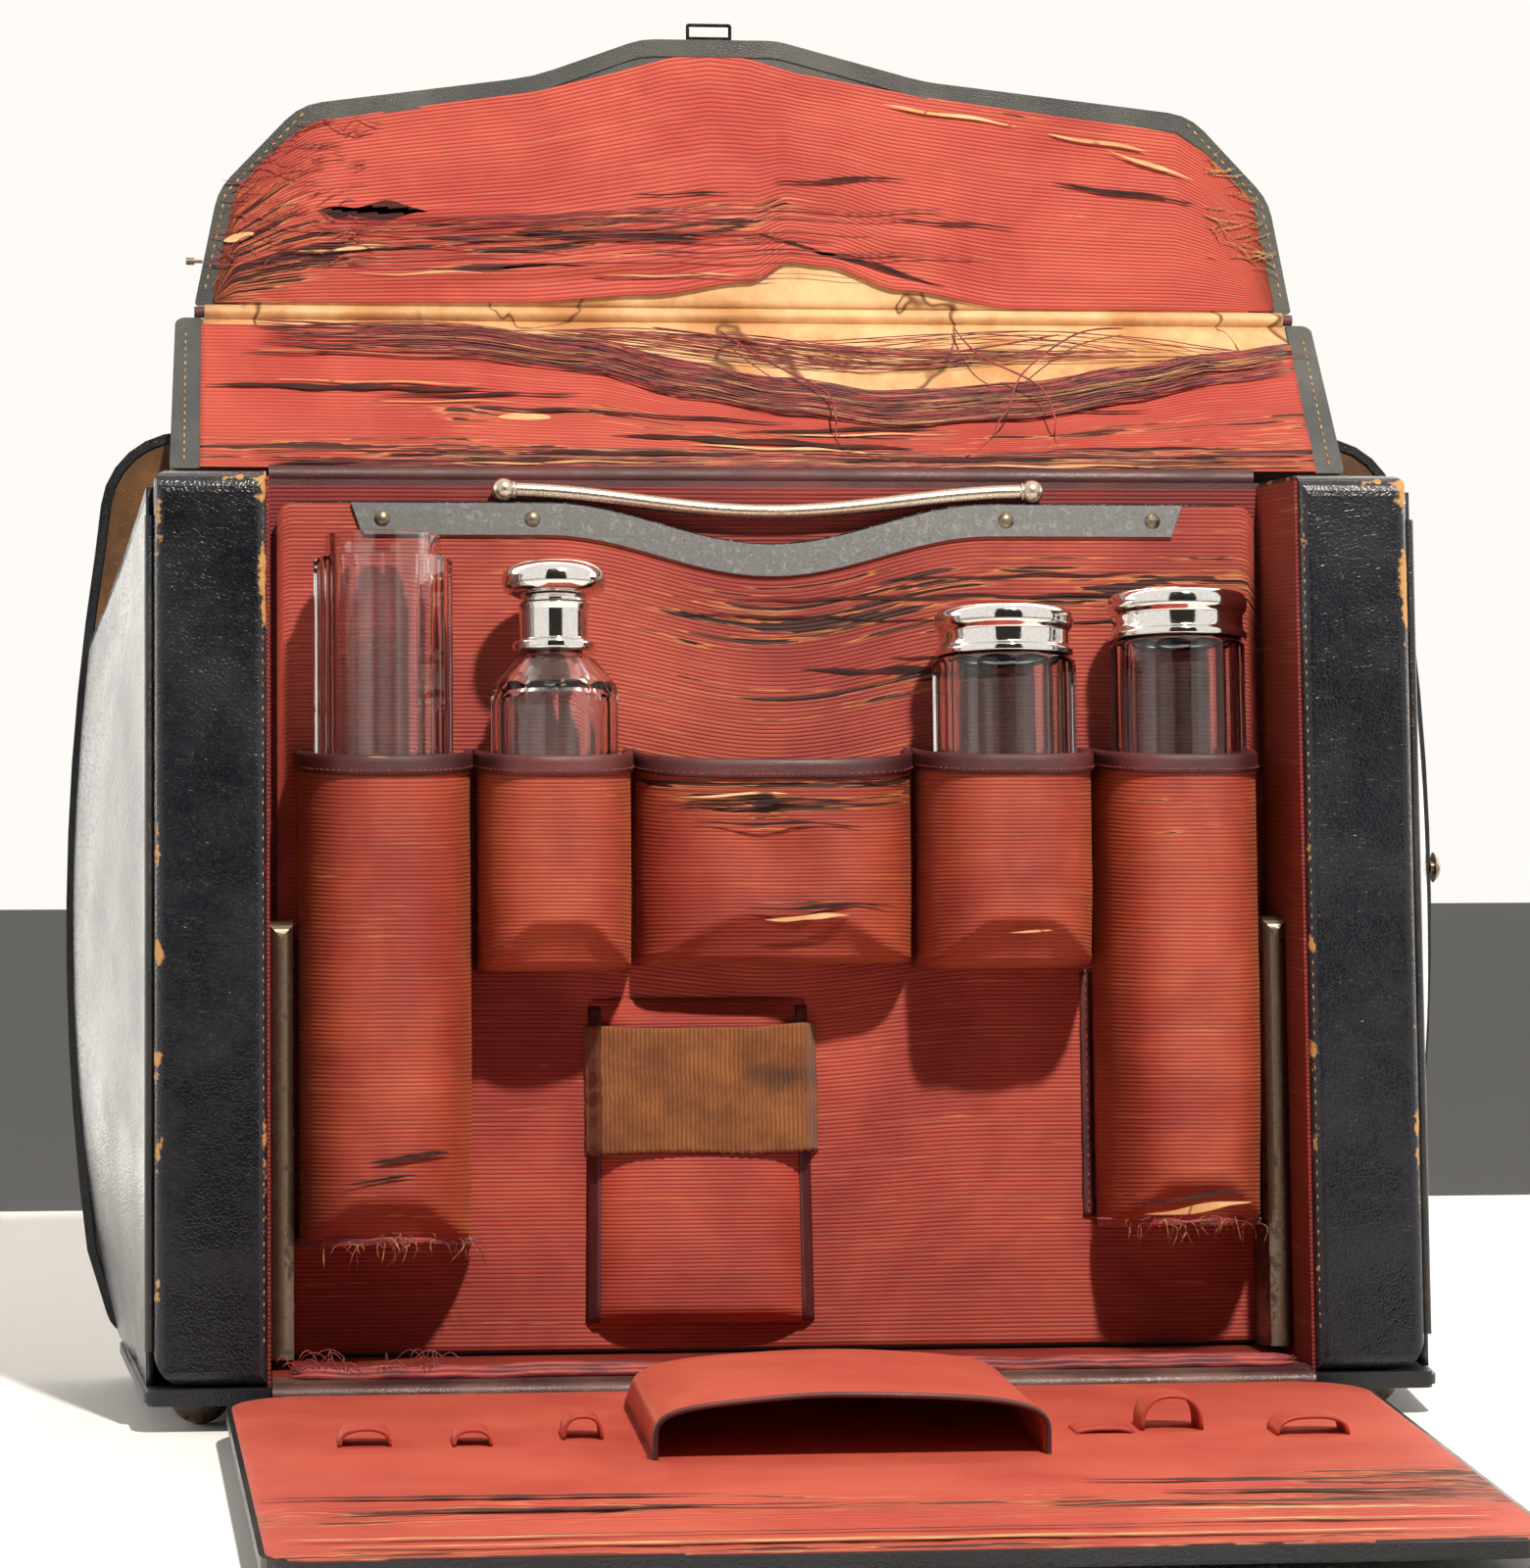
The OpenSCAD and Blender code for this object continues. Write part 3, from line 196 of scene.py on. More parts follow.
def stitches(bm, points, pitch, length, radius, out):
    """Adds a row of sewing stitches along a line of points, standing off it along out."""
    lengths = [(b - a).length for a, b in zip(points, points[1:])]
    total, travelled, k = sum(lengths), 0.0, 0
    place = pitch * MM / 2
    while place < total:
        while k < len(lengths) - 1 and place > travelled + lengths[k]:
            travelled += lengths[k]
            k += 1
        along = (points[k + 1] - points[k]).normalized()
        spot = points[k] + along * (place - travelled)
        side = along.cross(out).normalized()
        turn = Matrix((along, side, out)).transposed().to_4x4()
        size = Matrix.Diagonal((length * MM / 2, radius * MM, radius * MM * 0.8, 1))
        bmesh.ops.create_icosphere(bm, subdivisions=1, radius=1,
                                   matrix=Matrix.Translation(spot) @ turn @ size)
        place += pitch * MM


def woven(*grid, back=False):
    """A new mesh with one grid in it, turned over where its back is the side that shows."""
    bm = bmesh.new()
    weave_grid(bm, *grid)
    if back:
        bmesh.ops.reverse_faces(bm, faces=bm.faces[:])
    return bm


def rounded(spots, k, f):
    """Catmull-Rom curve between spots k and k + 1, at a share f of the way."""
    p = [Vector(spots[max(0, min(len(spots) - 1, k + n))]) for n in (-1, 0, 1, 2)]
    return 0.5 * (2 * p[1] + (p[2] - p[0]) * f + (2 * p[0] - 5 * p[1] + 4 * p[2] - p[3]) * f * f
                  + (3 * p[1] - p[0] - 3 * p[2] + p[3]) * f ** 3)


def cap_ends(bm, sides):
    bmesh.ops.holes_fill(bm, edges=[e for e in bm.edges if e.is_boundary], sides=sides)


def thicken(obj, thickness, offset=-1.0):
    """Gives a sheet its thickness in millimetres, by default behind its face."""
    wall = obj.modifiers.new("thickness", "SOLIDIFY")
    wall.thickness = thickness * MM
    wall.offset = offset
    wall.use_even_offset = False


# Node helpers for the materials
def paint(r, g, b):
    """Colour as a screen shows it, turned to the light that a shader needs."""
    return tuple(((c / 255 + 0.055) / 1.055) ** 2.4 if c > 10 else c / 255 / 12.92
                 for c in (r, g, b)) + (1.0,)


def add(tree, kind, inputs=None, **settings):
    node = tree.nodes.new("ShaderNode" + kind)
    for key, value in settings.items():
        setattr(node, key, value)
    fill(tree, node, inputs or {})
    return node


def maths(tree, operation, a, b=0.0):
    return add(tree, "Math", {0: a, 1: b}, operation=operation).outputs[0]


def times(tree, a, b):
    return maths(tree, "MULTIPLY", a, b)


def plus(tree, a, b):
    return maths(tree, "ADD", a, b)


def less(tree, a, b):
    return maths(tree, "SUBTRACT", a, b)


def between(tree, value, low, high, to_low=0.0, to_high=1.0):
    return add(tree, "MapRange", {"Value": value, "From Min": low, "From Max": high,
                                  "To Min": to_low, "To Max": to_high},
               interpolation_type="SMOOTHSTEP").outputs[0]


def blend(tree, share, a, b):
    """Mixes two colours by a share."""
    return add(tree, "Mix", {0: share, 6: a, 7: b}, data_type="RGBA", clamp_factor=True).outputs[2]


def cloud(tree, vector, scale, detail=3.0, roughness=0.55, distortion=0.0):
    return add(tree, "TexNoise", {"Vector": vector, "Scale": scale, "Detail": detail,
                                  "Roughness": roughness, "Distortion": distortion}).outputs[0]


def stretched(tree, vector, scale=(1, 1, 1), turn=(0, 0, 0)):
    return add(tree, "Mapping", {"Vector": vector, "Scale": scale, "Rotation": turn}).outputs[0]


def new_group(name, inputs, outputs):
    """A shader node group: inputs are [name, kind, default], outputs are [name, kind]."""
    tree = bpy.data.node_groups.new(name, "ShaderNodeTree")
    for label, kind, default in inputs:
        socket = tree.interface.new_socket(label, in_out="INPUT", socket_type="NodeSocket" + kind)
        if default is not None:
            socket.default_value = default
    for label, kind in outputs:
        tree.interface.new_socket(label, in_out="OUTPUT", socket_type="NodeSocket" + kind)
    return tree, tree.nodes.new("NodeGroupInput").outputs, tree.nodes.new("NodeGroupOutput").inputs


def use(tree, group, inputs):
    """Adds a shared node group and gives its outputs."""
    return add(tree, "Group", inputs, node_tree=bpy.data.node_groups[group]).outputs


def fill(tree, node, inputs):
    """Links a socket, or sets a value, at each named input."""
    for key, value in inputs.items():
        if isinstance(value, bpy.types.NodeSocket):
            tree.links.new(value, node.inputs[key])
        else:
            node.inputs[key].default_value = value


def make_groups():
    """Effects that several finishes share."""
    # Leather grain: pebbles between creases, with long soft wrinkles
    t, i, o = new_group("leather_grain",
                        [("Vector", "Vector", None), ("Pebble", "Float", 900.0), ("Wrinkle", "Float", 0.6)],
                        [("Height", "Float"), ("Crease", "Float")])
    warp = add(t, "TexNoise", {"Vector": i["Vector"], "Scale": 160.0, "Detail": 2.0}).outputs[1]
    bent = add(t, "VectorMath", {0: i["Vector"], 1: add(t, "VectorMath", {0: warp, "Scale": 0.0025},
               operation="SCALE").outputs[0]}, operation="ADD").outputs[0]
    cells = add(t, "TexVoronoi", {"Vector": bent, "Scale": i["Pebble"]}, feature="DISTANCE_TO_EDGE").outputs[0]
    pebble = between(t, cells, 0.0, 0.28)
    wave = cloud(t, stretched(t, i["Vector"], (70, 70, 190)), 1.0, 4.0, 0.6, 0.6)
    line = between(t, maths(t, "ABSOLUTE", less(t, wave, 0.5)), 0.0, 0.07)
    soft = times(t, less(t, 1.0, line), i["Wrinkle"])
    high = less(t, times(t, pebble, 0.55), soft)
    t.links.new(high, o["Height"])
    t.links.new(times(t, less(t, 1.0, pebble), 0.8), o["Crease"])

    # Rubbed edges of a boxed form: near where two faces meet, broken up by noise
    t, i, o = new_group("rubbed_edge",
                        [("Vector", "Vector", None), ("Half", "Vector", (0.1, 0.1, 0.1)),
                         ("Reach", "Float", 0.004), ("Break", "Float", 0.5)],
                        [("Mask", "Float")])
    inside = add(t, "VectorMath", {0: i["Half"], 1: add(t, "VectorMath", {0: i["Vector"]},
                 operation="ABSOLUTE").outputs[0]}, operation="SUBTRACT").outputs[0]
    part = add(t, "SeparateXYZ", {0: inside}).outputs
    pair = [maths(t, "MAXIMUM", part[a], part[b]) for a, b in ((0, 1), (1, 2), (0, 2))]
    near = maths(t, "MINIMUM", pair[0], maths(t, "MINIMUM", pair[1], pair[2]))
    noisy = cloud(t, i["Vector"], 55.0, 5.0, 0.65)
    reach = times(t, i["Reach"], between(t, noisy, i["Break"], plus(t, i["Break"], 0.25)))
    t.links.new(between(t, maths(t, "DIVIDE", near, plus(t, reach, 1e-5)), 1.0, 0.5), o["Mask"])

    # Ribbed silk: Y runs across the ribs, X along them
    t, i, o = new_group("ribbed_weave",
                        [("Vector", "Vector", None), ("Pitch", "Float", 0.0012)],
                        [("Height", "Float"), ("Streak", "Float"), ("Fade", "Float")])
    drift = times(t, cloud(t, stretched(t, i["Vector"], (14, 40, 14)), 1.0, 2.0), 0.0009)
    across = plus(t, add(t, "SeparateXYZ", {0: i["Vector"]}).outputs[1], drift)
    rib = maths(t, "ABSOLUTE", maths(t, "SINE", maths(t, "DIVIDE", times(t, across, math.pi), i["Pitch"])))
    t.links.new(maths(t, "POWER", rib, 0.6), o["Height"])
    t.links.new(cloud(t, stretched(t, i["Vector"], (14, 500, 14)), 1.0, 3.0, 0.7), o["Streak"])
    t.links.new(cloud(t, i["Vector"], 16.0, 4.0, 0.6, 0.4), o["Fade"])

    # Long thin slits where the silk has split along its ribs
    t, i, o = new_group("split_silk",
                        [("Vector", "Vector", None), ("Amount", "Float", 0.0)],
                        [("Split", "Float"), ("Lip", "Float")])
    long_noise = cloud(t, stretched(t, i["Vector"], (22, 420, 22)), 1.0, 3.0, 0.55, 0.25)
    limit = less(t, 0.78, times(t, i["Amount"], 0.29))
    t.links.new(between(t, long_noise, limit, plus(t, limit, 0.02)), o["Split"])
    t.links.new(between(t, long_noise, less(t, limit, 0.055), limit), o["Lip"])

    # Dull spots and tarnish on plated metal
    t, i, o = new_group("tarnish",
                        [("Vector", "Vector", None), ("Size", "Float", 300.0), ("Amount", "Float", 0.5)],
                        [("Mask", "Float"), ("Speckle", "Float")])
    patch = cloud(t, i["Vector"], i["Size"], 6.0, 0.7, 0.3)
    edge = less(t, 0.72, times(t, i["Amount"], 0.35))
    t.links.new(between(t, patch, edge, plus(t, edge, 0.12)), o["Mask"])
    fine = cloud(t, i["Vector"], times(t, i["Size"], 6.0), 3.0, 0.8)
    t.links.new(between(t, fine, 0.42, 0.62), o["Speckle"])


def finish(name, roughness=0.5, **sockets):
    """A material with one Principled shader; gives the tree, the shader and Object coordinates."""
    made = bpy.data.materials.new(name)
    made.use_nodes = True
    tree = made.node_tree
    shader = tree.nodes["Principled BSDF"]
    shader.inputs["Roughness"].default_value = roughness
    for key, value in sockets.items():
        shader.inputs[key.replace("_", " ")].default_value = value
    return made, tree, shader, add(tree, "TexCoord").outputs["Object"]


def darker(colour, share):
    return tuple(share * c for c in colour[:3]) + (1,)


def relief(tree, shader, height, strength, distance):
    """Feeds a height to the shader as bump; distance is in millimetres."""
    made = add(tree, "Bump", {"Height": height, "Strength": strength, "Distance": distance * MM})
    tree.links.new(made.outputs[0], shader.inputs["Normal"])


def leather_finish(name, dark, light, worn, half=None, centre=(0, 0, 0), reach=0.004, broken=0.5,
                   pebble=900.0, wrinkle=0.25, gloss=(0.28, 0.42), depth=0.12, lean=0.0, speckle=0.06):
    """Grained leather, with worn-coloured flecks, and rubbed through to the skin on its edges."""
    made, t, shader, place = finish(name)
    grain = use(t, "leather_grain", {"Vector": place, "Pebble": pebble, "Wrinkle": wrinkle})
    tone = cloud(t, place, 24.0, 4.0, 0.6)
    colour = blend(t, between(t, tone, 0.35, 0.7), dark, light)
    dust = between(t, cloud(t, place, 150.0, 5.0, 0.75), 0.62, 0.80)
    colour = blend(t, times(t, dust, speckle), colour, worn)
    shine = between(t, cloud(t, place, 45.0, 4.0), 0.3, 0.7, gloss[0], gloss[1])
    if half:
        turned = stretched(t, place, turn=(lean, 0, 0)) if lean else place
        moved = add(t, "VectorMath", {0: turned, 1: centre}, operation="SUBTRACT").outputs[0]
        mask = use(t, "rubbed_edge", {"Vector": moved, "Half": half, "Reach": reach, "Break": broken})[0]
        colour = blend(t, mask, colour, worn)
        shine = plus(t, shine, times(t, mask, 0.3))
    fill(t, shader, {"Base Color": colour, "Roughness": shine})
    relief(t, shader, grain[0], 0.7, depth)
    return made


def silk_finish(name, deep, bright, gold, pitch=0.0012, from_cloth=True, turn=(0, 0, 0), torn=0.0, sheen=0.25):
    """Ribbed shot silk: red ribs with painted shade in the grooves between them, gold streaks, faded, and split
    where it is worn, with painted shade in the splits.
    """
    made, t, shader, place = finish(name, 0.62, Sheen_Weight=sheen, Sheen_Tint=gold, Sheen_Roughness=0.45,
                                    Specular_IOR_Level=0.35)
    if from_cloth:
        place = add(t, "UVMap", uv_map="cloth").outputs[0]
    else:
        place = stretched(t, place, turn=turn)
    weave = use(t, "ribbed_weave", {"Vector": place, "Pitch": pitch})
    wear = add(t, "Attribute", attribute_name="torn", attribute_type="GEOMETRY").outputs["Fac"]
    split = use(t, "split_silk", {"Vector": place, "Amount": plus(t, wear, torn)})
    colour = blend(t, between(t, weave[2], 0.3, 0.7), deep, bright)
    colour = blend(t, times(t, wear, 0.30), colour, darker(deep, 0.45))
    colour = blend(t, times(t, between(t, weave[1], 0.55, 0.8), 0.45), colour, gold)
    # painted shade: the grooves between the ribs are darkened toward a deep red, standing for the shade that falls
    # in them
    colour = blend(t, times(t, less(t, 1.0, weave[0]), 0.68), colour,
                   darker(deep, 0.22))
    colour = blend(t, times(t, split[1], 0.55), colour, gold)
    # painted shade: the splits are darkened almost to black, standing for the shade inside the gaps
    colour = blend(t, split[0], colour, darker(deep, 0.10))
    t.links.new(colour, shader.inputs["Base Color"])
    high = less(t, times(t, weave[0], 0.5), times(t, split[0], 1.2))
    relief(t, shader, high, 1.0, 0.36)
    return made


def metal_finish(name, bright, dull, size=300.0, amount=0.4, gloss=(0.12, 0.45), brushed=0.0):
    """Plated metal with dull patches and fine speckle."""
    made, t, shader, place = finish(name, Metallic=1.0)
    spots = use(t, "tarnish", {"Vector": place, "Size": size, "Amount": amount})
    colour = blend(t, spots[0], bright, dull)
    colour = blend(t, times(t, spots[1], 0.25), colour, dull)
    shine = plus(t, times(t, spots[0], gloss[1] - gloss[0]), gloss[0])
    t.links.new(colour, shader.inputs["Base Color"])
    t.links.new(plus(t, shine, times(t, spots[1], 0.08)), shader.inputs["Roughness"])
    lines = cloud(t, stretched(t, place, (60, 2200, 2200)), 1.0, 2.0)
    high = plus(t, times(t, lines, brushed), times(t, spots[0], 0.4))
    relief(t, shader, high, 0.25, 0.03)
    return made


FINISH = {}


def make_finishes(look):
    """All the finishes of the case, by name."""
    make_groups()
    deep, bright, gold = look.silk_deep[:], look.silk_bright[:], look.silk_gold[:]
    faded = paint(212, 94, 76)
    FINISH.update({
        "silk": silk_finish("faded_silk", paint(186, 66, 56), faded, paint(228, 150, 100), 0.0014),
        "panel_silk": silk_finish("panel_silk", deep, bright, gold),
        "pocket_silk": silk_finish("pocket_silk", paint(150, 52, 42), paint(186, 84, 58), gold),
        "dark_silk": silk_finish("lining_silk", paint(110, 26, 26), paint(140, 38, 34), gold, 0.0012, False,
                                 (math.pi / 2, 0, 0)),
        "black_leather": leather_finish("black_leather", paint(16, 17, 22), paint(28, 29, 36), paint(120, 98, 76)),
        "welt": leather_finish("welt_leather", paint(22, 22, 26), paint(48, 44, 42), paint(150, 120, 84),
                               pebble=1400.0, speckle=0.35),
        "grey_leather": leather_finish("grey_leather", paint(58, 60, 60), paint(86, 86, 82), paint(150, 132, 104),
                                       pebble=1200.0, gloss=(0.45, 0.65)),
        "binding": leather_finish("binding_leather", paint(62, 26, 28), paint(98, 44, 44), paint(140, 84, 66),
                                  pebble=1500.0, gloss=(0.4, 0.6), depth=0.06),
        "hinge": leather_finish("hinge_leather", paint(74, 40, 42), paint(120, 92, 84), paint(170, 140, 118),
                                pebble=1100.0, gloss=(0.35, 0.5), depth=0.1, speckle=0.8),
        "worn_leather": leather_finish("worn_leather", paint(70, 46, 30), paint(132, 92, 54), paint(180, 140, 90)),
        "steel": metal_finish("speckled_steel", (0.42, 0.42, 0.42, 1), (0.24, 0.235, 0.23, 1),
                              420.0, 0.5, (0.3, 0.45), 0.5),
        "nickel": metal_finish("worn_nickel", (0.58, 0.50, 0.40, 1), (0.34, 0.26, 0.19, 1),
                               200.0, 0.45, (0.26, 0.5)),
        "silver": metal_finish("silver_plate", (0.80, 0.78, 0.75, 1), (0.50, 0.45, 0.39, 1),
                               160.0, 0.12, (0.06, 0.25)),
        "brass": metal_finish("tarnished_brass", (0.24, 0.19, 0.135, 1), (0.10, 0.078, 0.058, 1),
                              240.0, 0.6, (0.34, 0.6)),
    })
    # Pillars: their edges are rubbed at the foot and along the outer corner
    for side, name in ((-1, "left_pillar"), (1, "right_pillar")):
        FINISH[name] = leather_finish(name + "_leather", paint(13, 14, 21), paint(24, 25, 33), paint(188, 140, 78),
                                      (0.0156, 0.0293, 0.1236), (side * 0.157, -0.0277, 0.1220), 0.0060, 0.46,
                                      pebble=800.0, wrinkle=0.3, gloss=(0.22, 0.36), depth=0.12, lean=LEAN)
    # Pasteboard under the torn lining
    made, t, shader, place = finish("pasteboard", 0.85)
    tone = cloud(t, place, 30.0, 5.0, 0.65)
    colour = blend(t, between(t, tone, 0.35, 0.7), paint(196, 140, 88), paint(240, 198, 148))
    crack = maths(t, "ABSOLUTE", less(t, cloud(t, place, 18.0, 3.0, 0.5, 0.8), 0.5))
    colour = blend(t, between(t, crack, 0.012, 0.0), colour, paint(120, 80, 50))
    t.links.new(colour, shader.inputs["Base Color"])
    relief(t, shader, tone, 0.4, 0.3)
    FINISH["board"] = made
    # Loose silk threads
    for label, low, high in (("thread", paint(96, 26, 32), paint(170, 62, 58)),
                             ("tan_thread", paint(150, 100, 50), paint(214, 170, 104))):
        made, t, shader, place = finish(label, 0.55, Sheen_Weight=0.2)
        tone = cloud(t, stretched(t, place, (60, 400, 400)), 1.0, 3.0, 0.7)
        t.links.new(blend(t, between(t, tone, 0.35, 0.65), low, high), shader.inputs["Base Color"])
        FINISH[label] = made
    # Corded ribbon of the band
    made, t, shader, place = finish("corded_ribbon", 0.75, Sheen_Weight=0.15)
    place = add(t, "UVMap", uv_map="cloth").outputs[0]
    part = add(t, "SeparateXYZ", {0: place}).outputs
    rib = maths(t, "ABSOLUTE", maths(t, "SINE", times(t, part[0], math.pi / 0.00125)))
    thread = maths(t, "ABSOLUTE", maths(t, "SINE", times(t, part[1], math.pi / 0.0005)))
    tone = cloud(t, place, 60.0, 4.0, 0.7)
    colour = blend(t, between(t, tone, 0.3, 0.7), paint(112, 62, 28), paint(158, 98, 44))
    # painted shade: the grooves between the cords are darkened, standing for the shade in them
    colour = blend(t, times(t, less(t, 1.0, rib), 0.5), colour, paint(84, 46, 22))
    # a round dark patch on the band, centred over the dip where the band sinks in
    patch_offset = add(t, "VectorMath", {0: place, 1: (0.056, 0.021, 0)}, operation="SUBTRACT").outputs[0]
    spot = add(t, "VectorMath", {0: stretched(t, patch_offset, (0.6, 1.4, 1))}, operation="LENGTH").outputs["Value"]
    ragged = plus(t, spot, times(t, tone, 0.006))
    colour = blend(t, times(t, between(t, ragged, 0.012, 0.003), 0.7), colour, paint(40, 26, 18))
    t.links.new(colour, shader.inputs["Base Color"])
    relief(t, shader, plus(t, rib, times(t, thread, 0.25)), 0.8, 0.35)
    FINISH["ribbon"] = made
    # Cut glass
    made, t, shader, place = finish("cut_glass", 0.03, Transmission_Weight=1.0, IOR=1.47)
    haze = cloud(t, place, 70.0, 5.0, 0.7)
    t.links.new(between(t, haze, 0.45, 0.8, 0.02, 0.14), shader.inputs["Roughness"])
    t.links.new(blend(t, between(t, haze, 0.3, 0.8), (0.97, 0.98, 0.98, 1), (0.90, 0.91, 0.91, 1)),
                shader.inputs["Base Color"])
    FINISH["glass"] = made


class CaseLook(bpy.types.PropertyGroup):
    """Colours of the case."""
    silk_deep: bpy.props.FloatVectorProperty(
        name="Panel silk, deep", description="Colour of the panel's silk in its darker areas",
        subtype="COLOR", size=4, min=0, max=1, default=paint(150, 48, 42))
    silk_bright: bpy.props.FloatVectorProperty(
        name="Panel silk, bright", description="Colour of the panel's silk where it is brightest",
        subtype="COLOR", size=4, min=0, max=1, default=paint(196, 84, 66))
    silk_gold: bpy.props.FloatVectorProperty(
        name="Gold weft", description="Colour of the weft that shows between the ribs",
        subtype="COLOR", size=4, min=0, max=1, default=paint(214, 140, 84))


class CaseSizes(bpy.types.PropertyGroup):
    """Sizes of the dressing, in millimetres."""
    cloth: bpy.props.FloatProperty(
        name="Silk thickness", description="Thickness of the ribbed silk", default=0.45, min=0.2, max=0.8)
    frays: bpy.props.IntProperty(
        name="Threads", description="Number of loose threads along the torn lid lining",
        default=230, min=20, max=400)
    light: bpy.props.FloatProperty(
        name="Key light", description="Power of the overhead studio light",
        subtype="POWER", default=31.0, min=1, max=80)


class PieceOperator:
    """Shared settings of the operators that make a piece."""
    bl_options = {"REGISTER", "UNDO"}

    @property
    def sizes(self):
        return bpy.context.scene.case_sizes

    @property
    def look(self):
        return bpy.context.scene.case_look


class CASE_OT_stage(PieceOperator, bpy.types.Operator):
    """Camera at the photograph's angle, soft light, pale floor and backdrop"""
    bl_idname = "case.stage"
    bl_label = "Stage"

    def execute(self, context):
        scene = context.scene
        yaw, pitch = math.radians(5.9), math.atan(100 / FOCAL)
        camera = bpy.data.objects.new("camera", bpy.data.cameras.new("camera"))
        camera.data.sensor_width = 36.0
        camera.data.lens = camera.data.sensor_width * FOCAL / PHOTO_WIDTH
        camera.location = Vector((-142.8, -1349.2, 192.0)) * MM
        ahead = Vector((math.sin(yaw) * math.cos(pitch), math.cos(yaw) * math.cos(pitch), -math.sin(pitch)))
        camera.rotation_mode = "QUATERNION"
        camera.rotation_quaternion = ahead.to_track_quat("-Z", "Y")
        scene.collection.objects.link(camera)
        scene.camera = camera
        floor_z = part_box("feet")[0].z
        self.card("floor", 0.93, 24, 3.0, Matrix.Translation((0, 0, floor_z)))
        backdrop = self.card("backdrop", 0.96, 4, 3.0,
                             Matrix.Translation((0, 0.5, 1.0)) @ Matrix.Rotation(math.pi / 2, 4, "X"))
        backdrop.visible_camera = False
        t = backdrop.data.materials[0].node_tree
        fill(t, t.nodes["Principled BSDF"], {
            "Emission Color": (1.0, 0.98, 0.95, 1),
            "Emission Strength": times(t, add(t, "LightPath").outputs["Is Glossy Ray"], 1.15)})
        room = Matrix.Translation((0.05, -2.4, 1.2)) @ Matrix.Diagonal((0.42, 1, 1, 1))
        room = self.card("dark_room", 0.03, 4, 2.4, room @ Matrix.Rotation(-math.pi / 2, 4, "X"))
        room.visible_camera = False
        self.lamp("key_light", (0.24, -0.95, 1.32), (0, -0.02, 0.12), self.sizes.light, 0.08, (1.0, 0.93, 0.83))
        self.lamp("left_wall", (-1.0, 0.2, 0.35), (-0.2, 0.0, 0.12), 3.0, 0.6, (1.0, 0.98, 0.95))
        self.lamp("right_wall", (1.0, 0.2, 0.35), (0.2, 0.0, 0.12), 2.5, 0.6, (1.0, 0.98, 0.95))
        world = bpy.data.worlds.new("studio")
        scene.world = world
        world.use_nodes = True
        t = world.node_tree
        path = add(t, "LightPath").outputs
        seen = maths(t, "MAXIMUM", path["Is Camera Ray"],
                     maths(t, "MAXIMUM", path["Is Glossy Ray"], path["Is Transmission Ray"]))
        strength = plus(t, times(t, seen, 0.93), 0.07)
        t.links.new(strength, t.nodes["Background"].inputs["Strength"])
        t.nodes["Background"].inputs["Color"].default_value = (1.0, 0.97, 0.93, 1)
        return {"FINISHED"}

    def card(self, name, level, segments, size, matrix):
        """A flat card of one grey level, which may be floor, backdrop or the dark side of the room."""
        bm = bmesh.new()
        bmesh.ops.create_grid(bm, x_segments=segments, y_segments=segments, size=size, matrix=matrix)
        made, t, shader, place = finish(name + "_card", 0.9)
        tone = cloud(t, place, 3.0, 2.0)
        warm, cool = ((level, level * green, level * blue, 1) for green, blue in ((0.985, 0.965), (0.99, 0.975)))
        t.links.new(blend(t, tone, warm, cool), shader.inputs["Base Color"])
        obj = solid(name, bm, made)
        return obj

    def lamp(self, name, place, aim, power, size, colour):
        data = bpy.data.lights.new(name, "AREA")
        data.energy, data.size, data.color, data.shape = power, size, colour, "DISK"
        obj = bpy.data.objects.new(name, data)
        obj.location = place
        obj.rotation_mode = "QUATERNION"
        obj.rotation_quaternion = (Vector(aim) - Vector(place)).to_track_quat("-Z", "Y")
        obj.visible_camera = False
        bpy.context.scene.collection.objects.link(obj)


class CASE_OT_finishes(PieceOperator, bpy.types.Operator):
    """Finishes of the solids that keep their own shape"""
    bl_idname = "case.finishes"
    bl_label = "Finishes of the solids"

    WEARS = {
        "black_leather": "base_board base_skin compartment_wall back_panel back_rim front_board handle_grip "
                         "panel_board",
        "grey_leather": "lid_board flap_board",
        "left_pillar": "left_pillar", "right_pillar": "right_pillar",
        "worn_leather": "back_lining", "welt": "pillar_welts",
        "dark_silk": "floor_lining side_linings wall_lining",
        "binding": "wall_top_binding lid_rolls", "hinge": "threshold_strip hinge_roll",
        "steel": "handle_plate guide_rivets",
        "nickel": "lock_plate turn_button handle_mounts handle_ends",
        "silver": "bottle_collar bottle_cap jar_lid tall_jar_lid hasp_loop",
        "brass": "feet panel_guides end_stud hasp_plate flap_stud plate_rivets",
        "glass": "tube_glass bottle_glass jar_glass tall_jar_glass",
    }

    def execute(self, context):
        make_finishes(self.look)
        for label, names in self.WEARS.items():
            for name in names.split():
                mesh = NODES[name].data
                mesh.materials.clear()
                mesh.materials.append(FINISH[label])
        return {"FINISHED"}


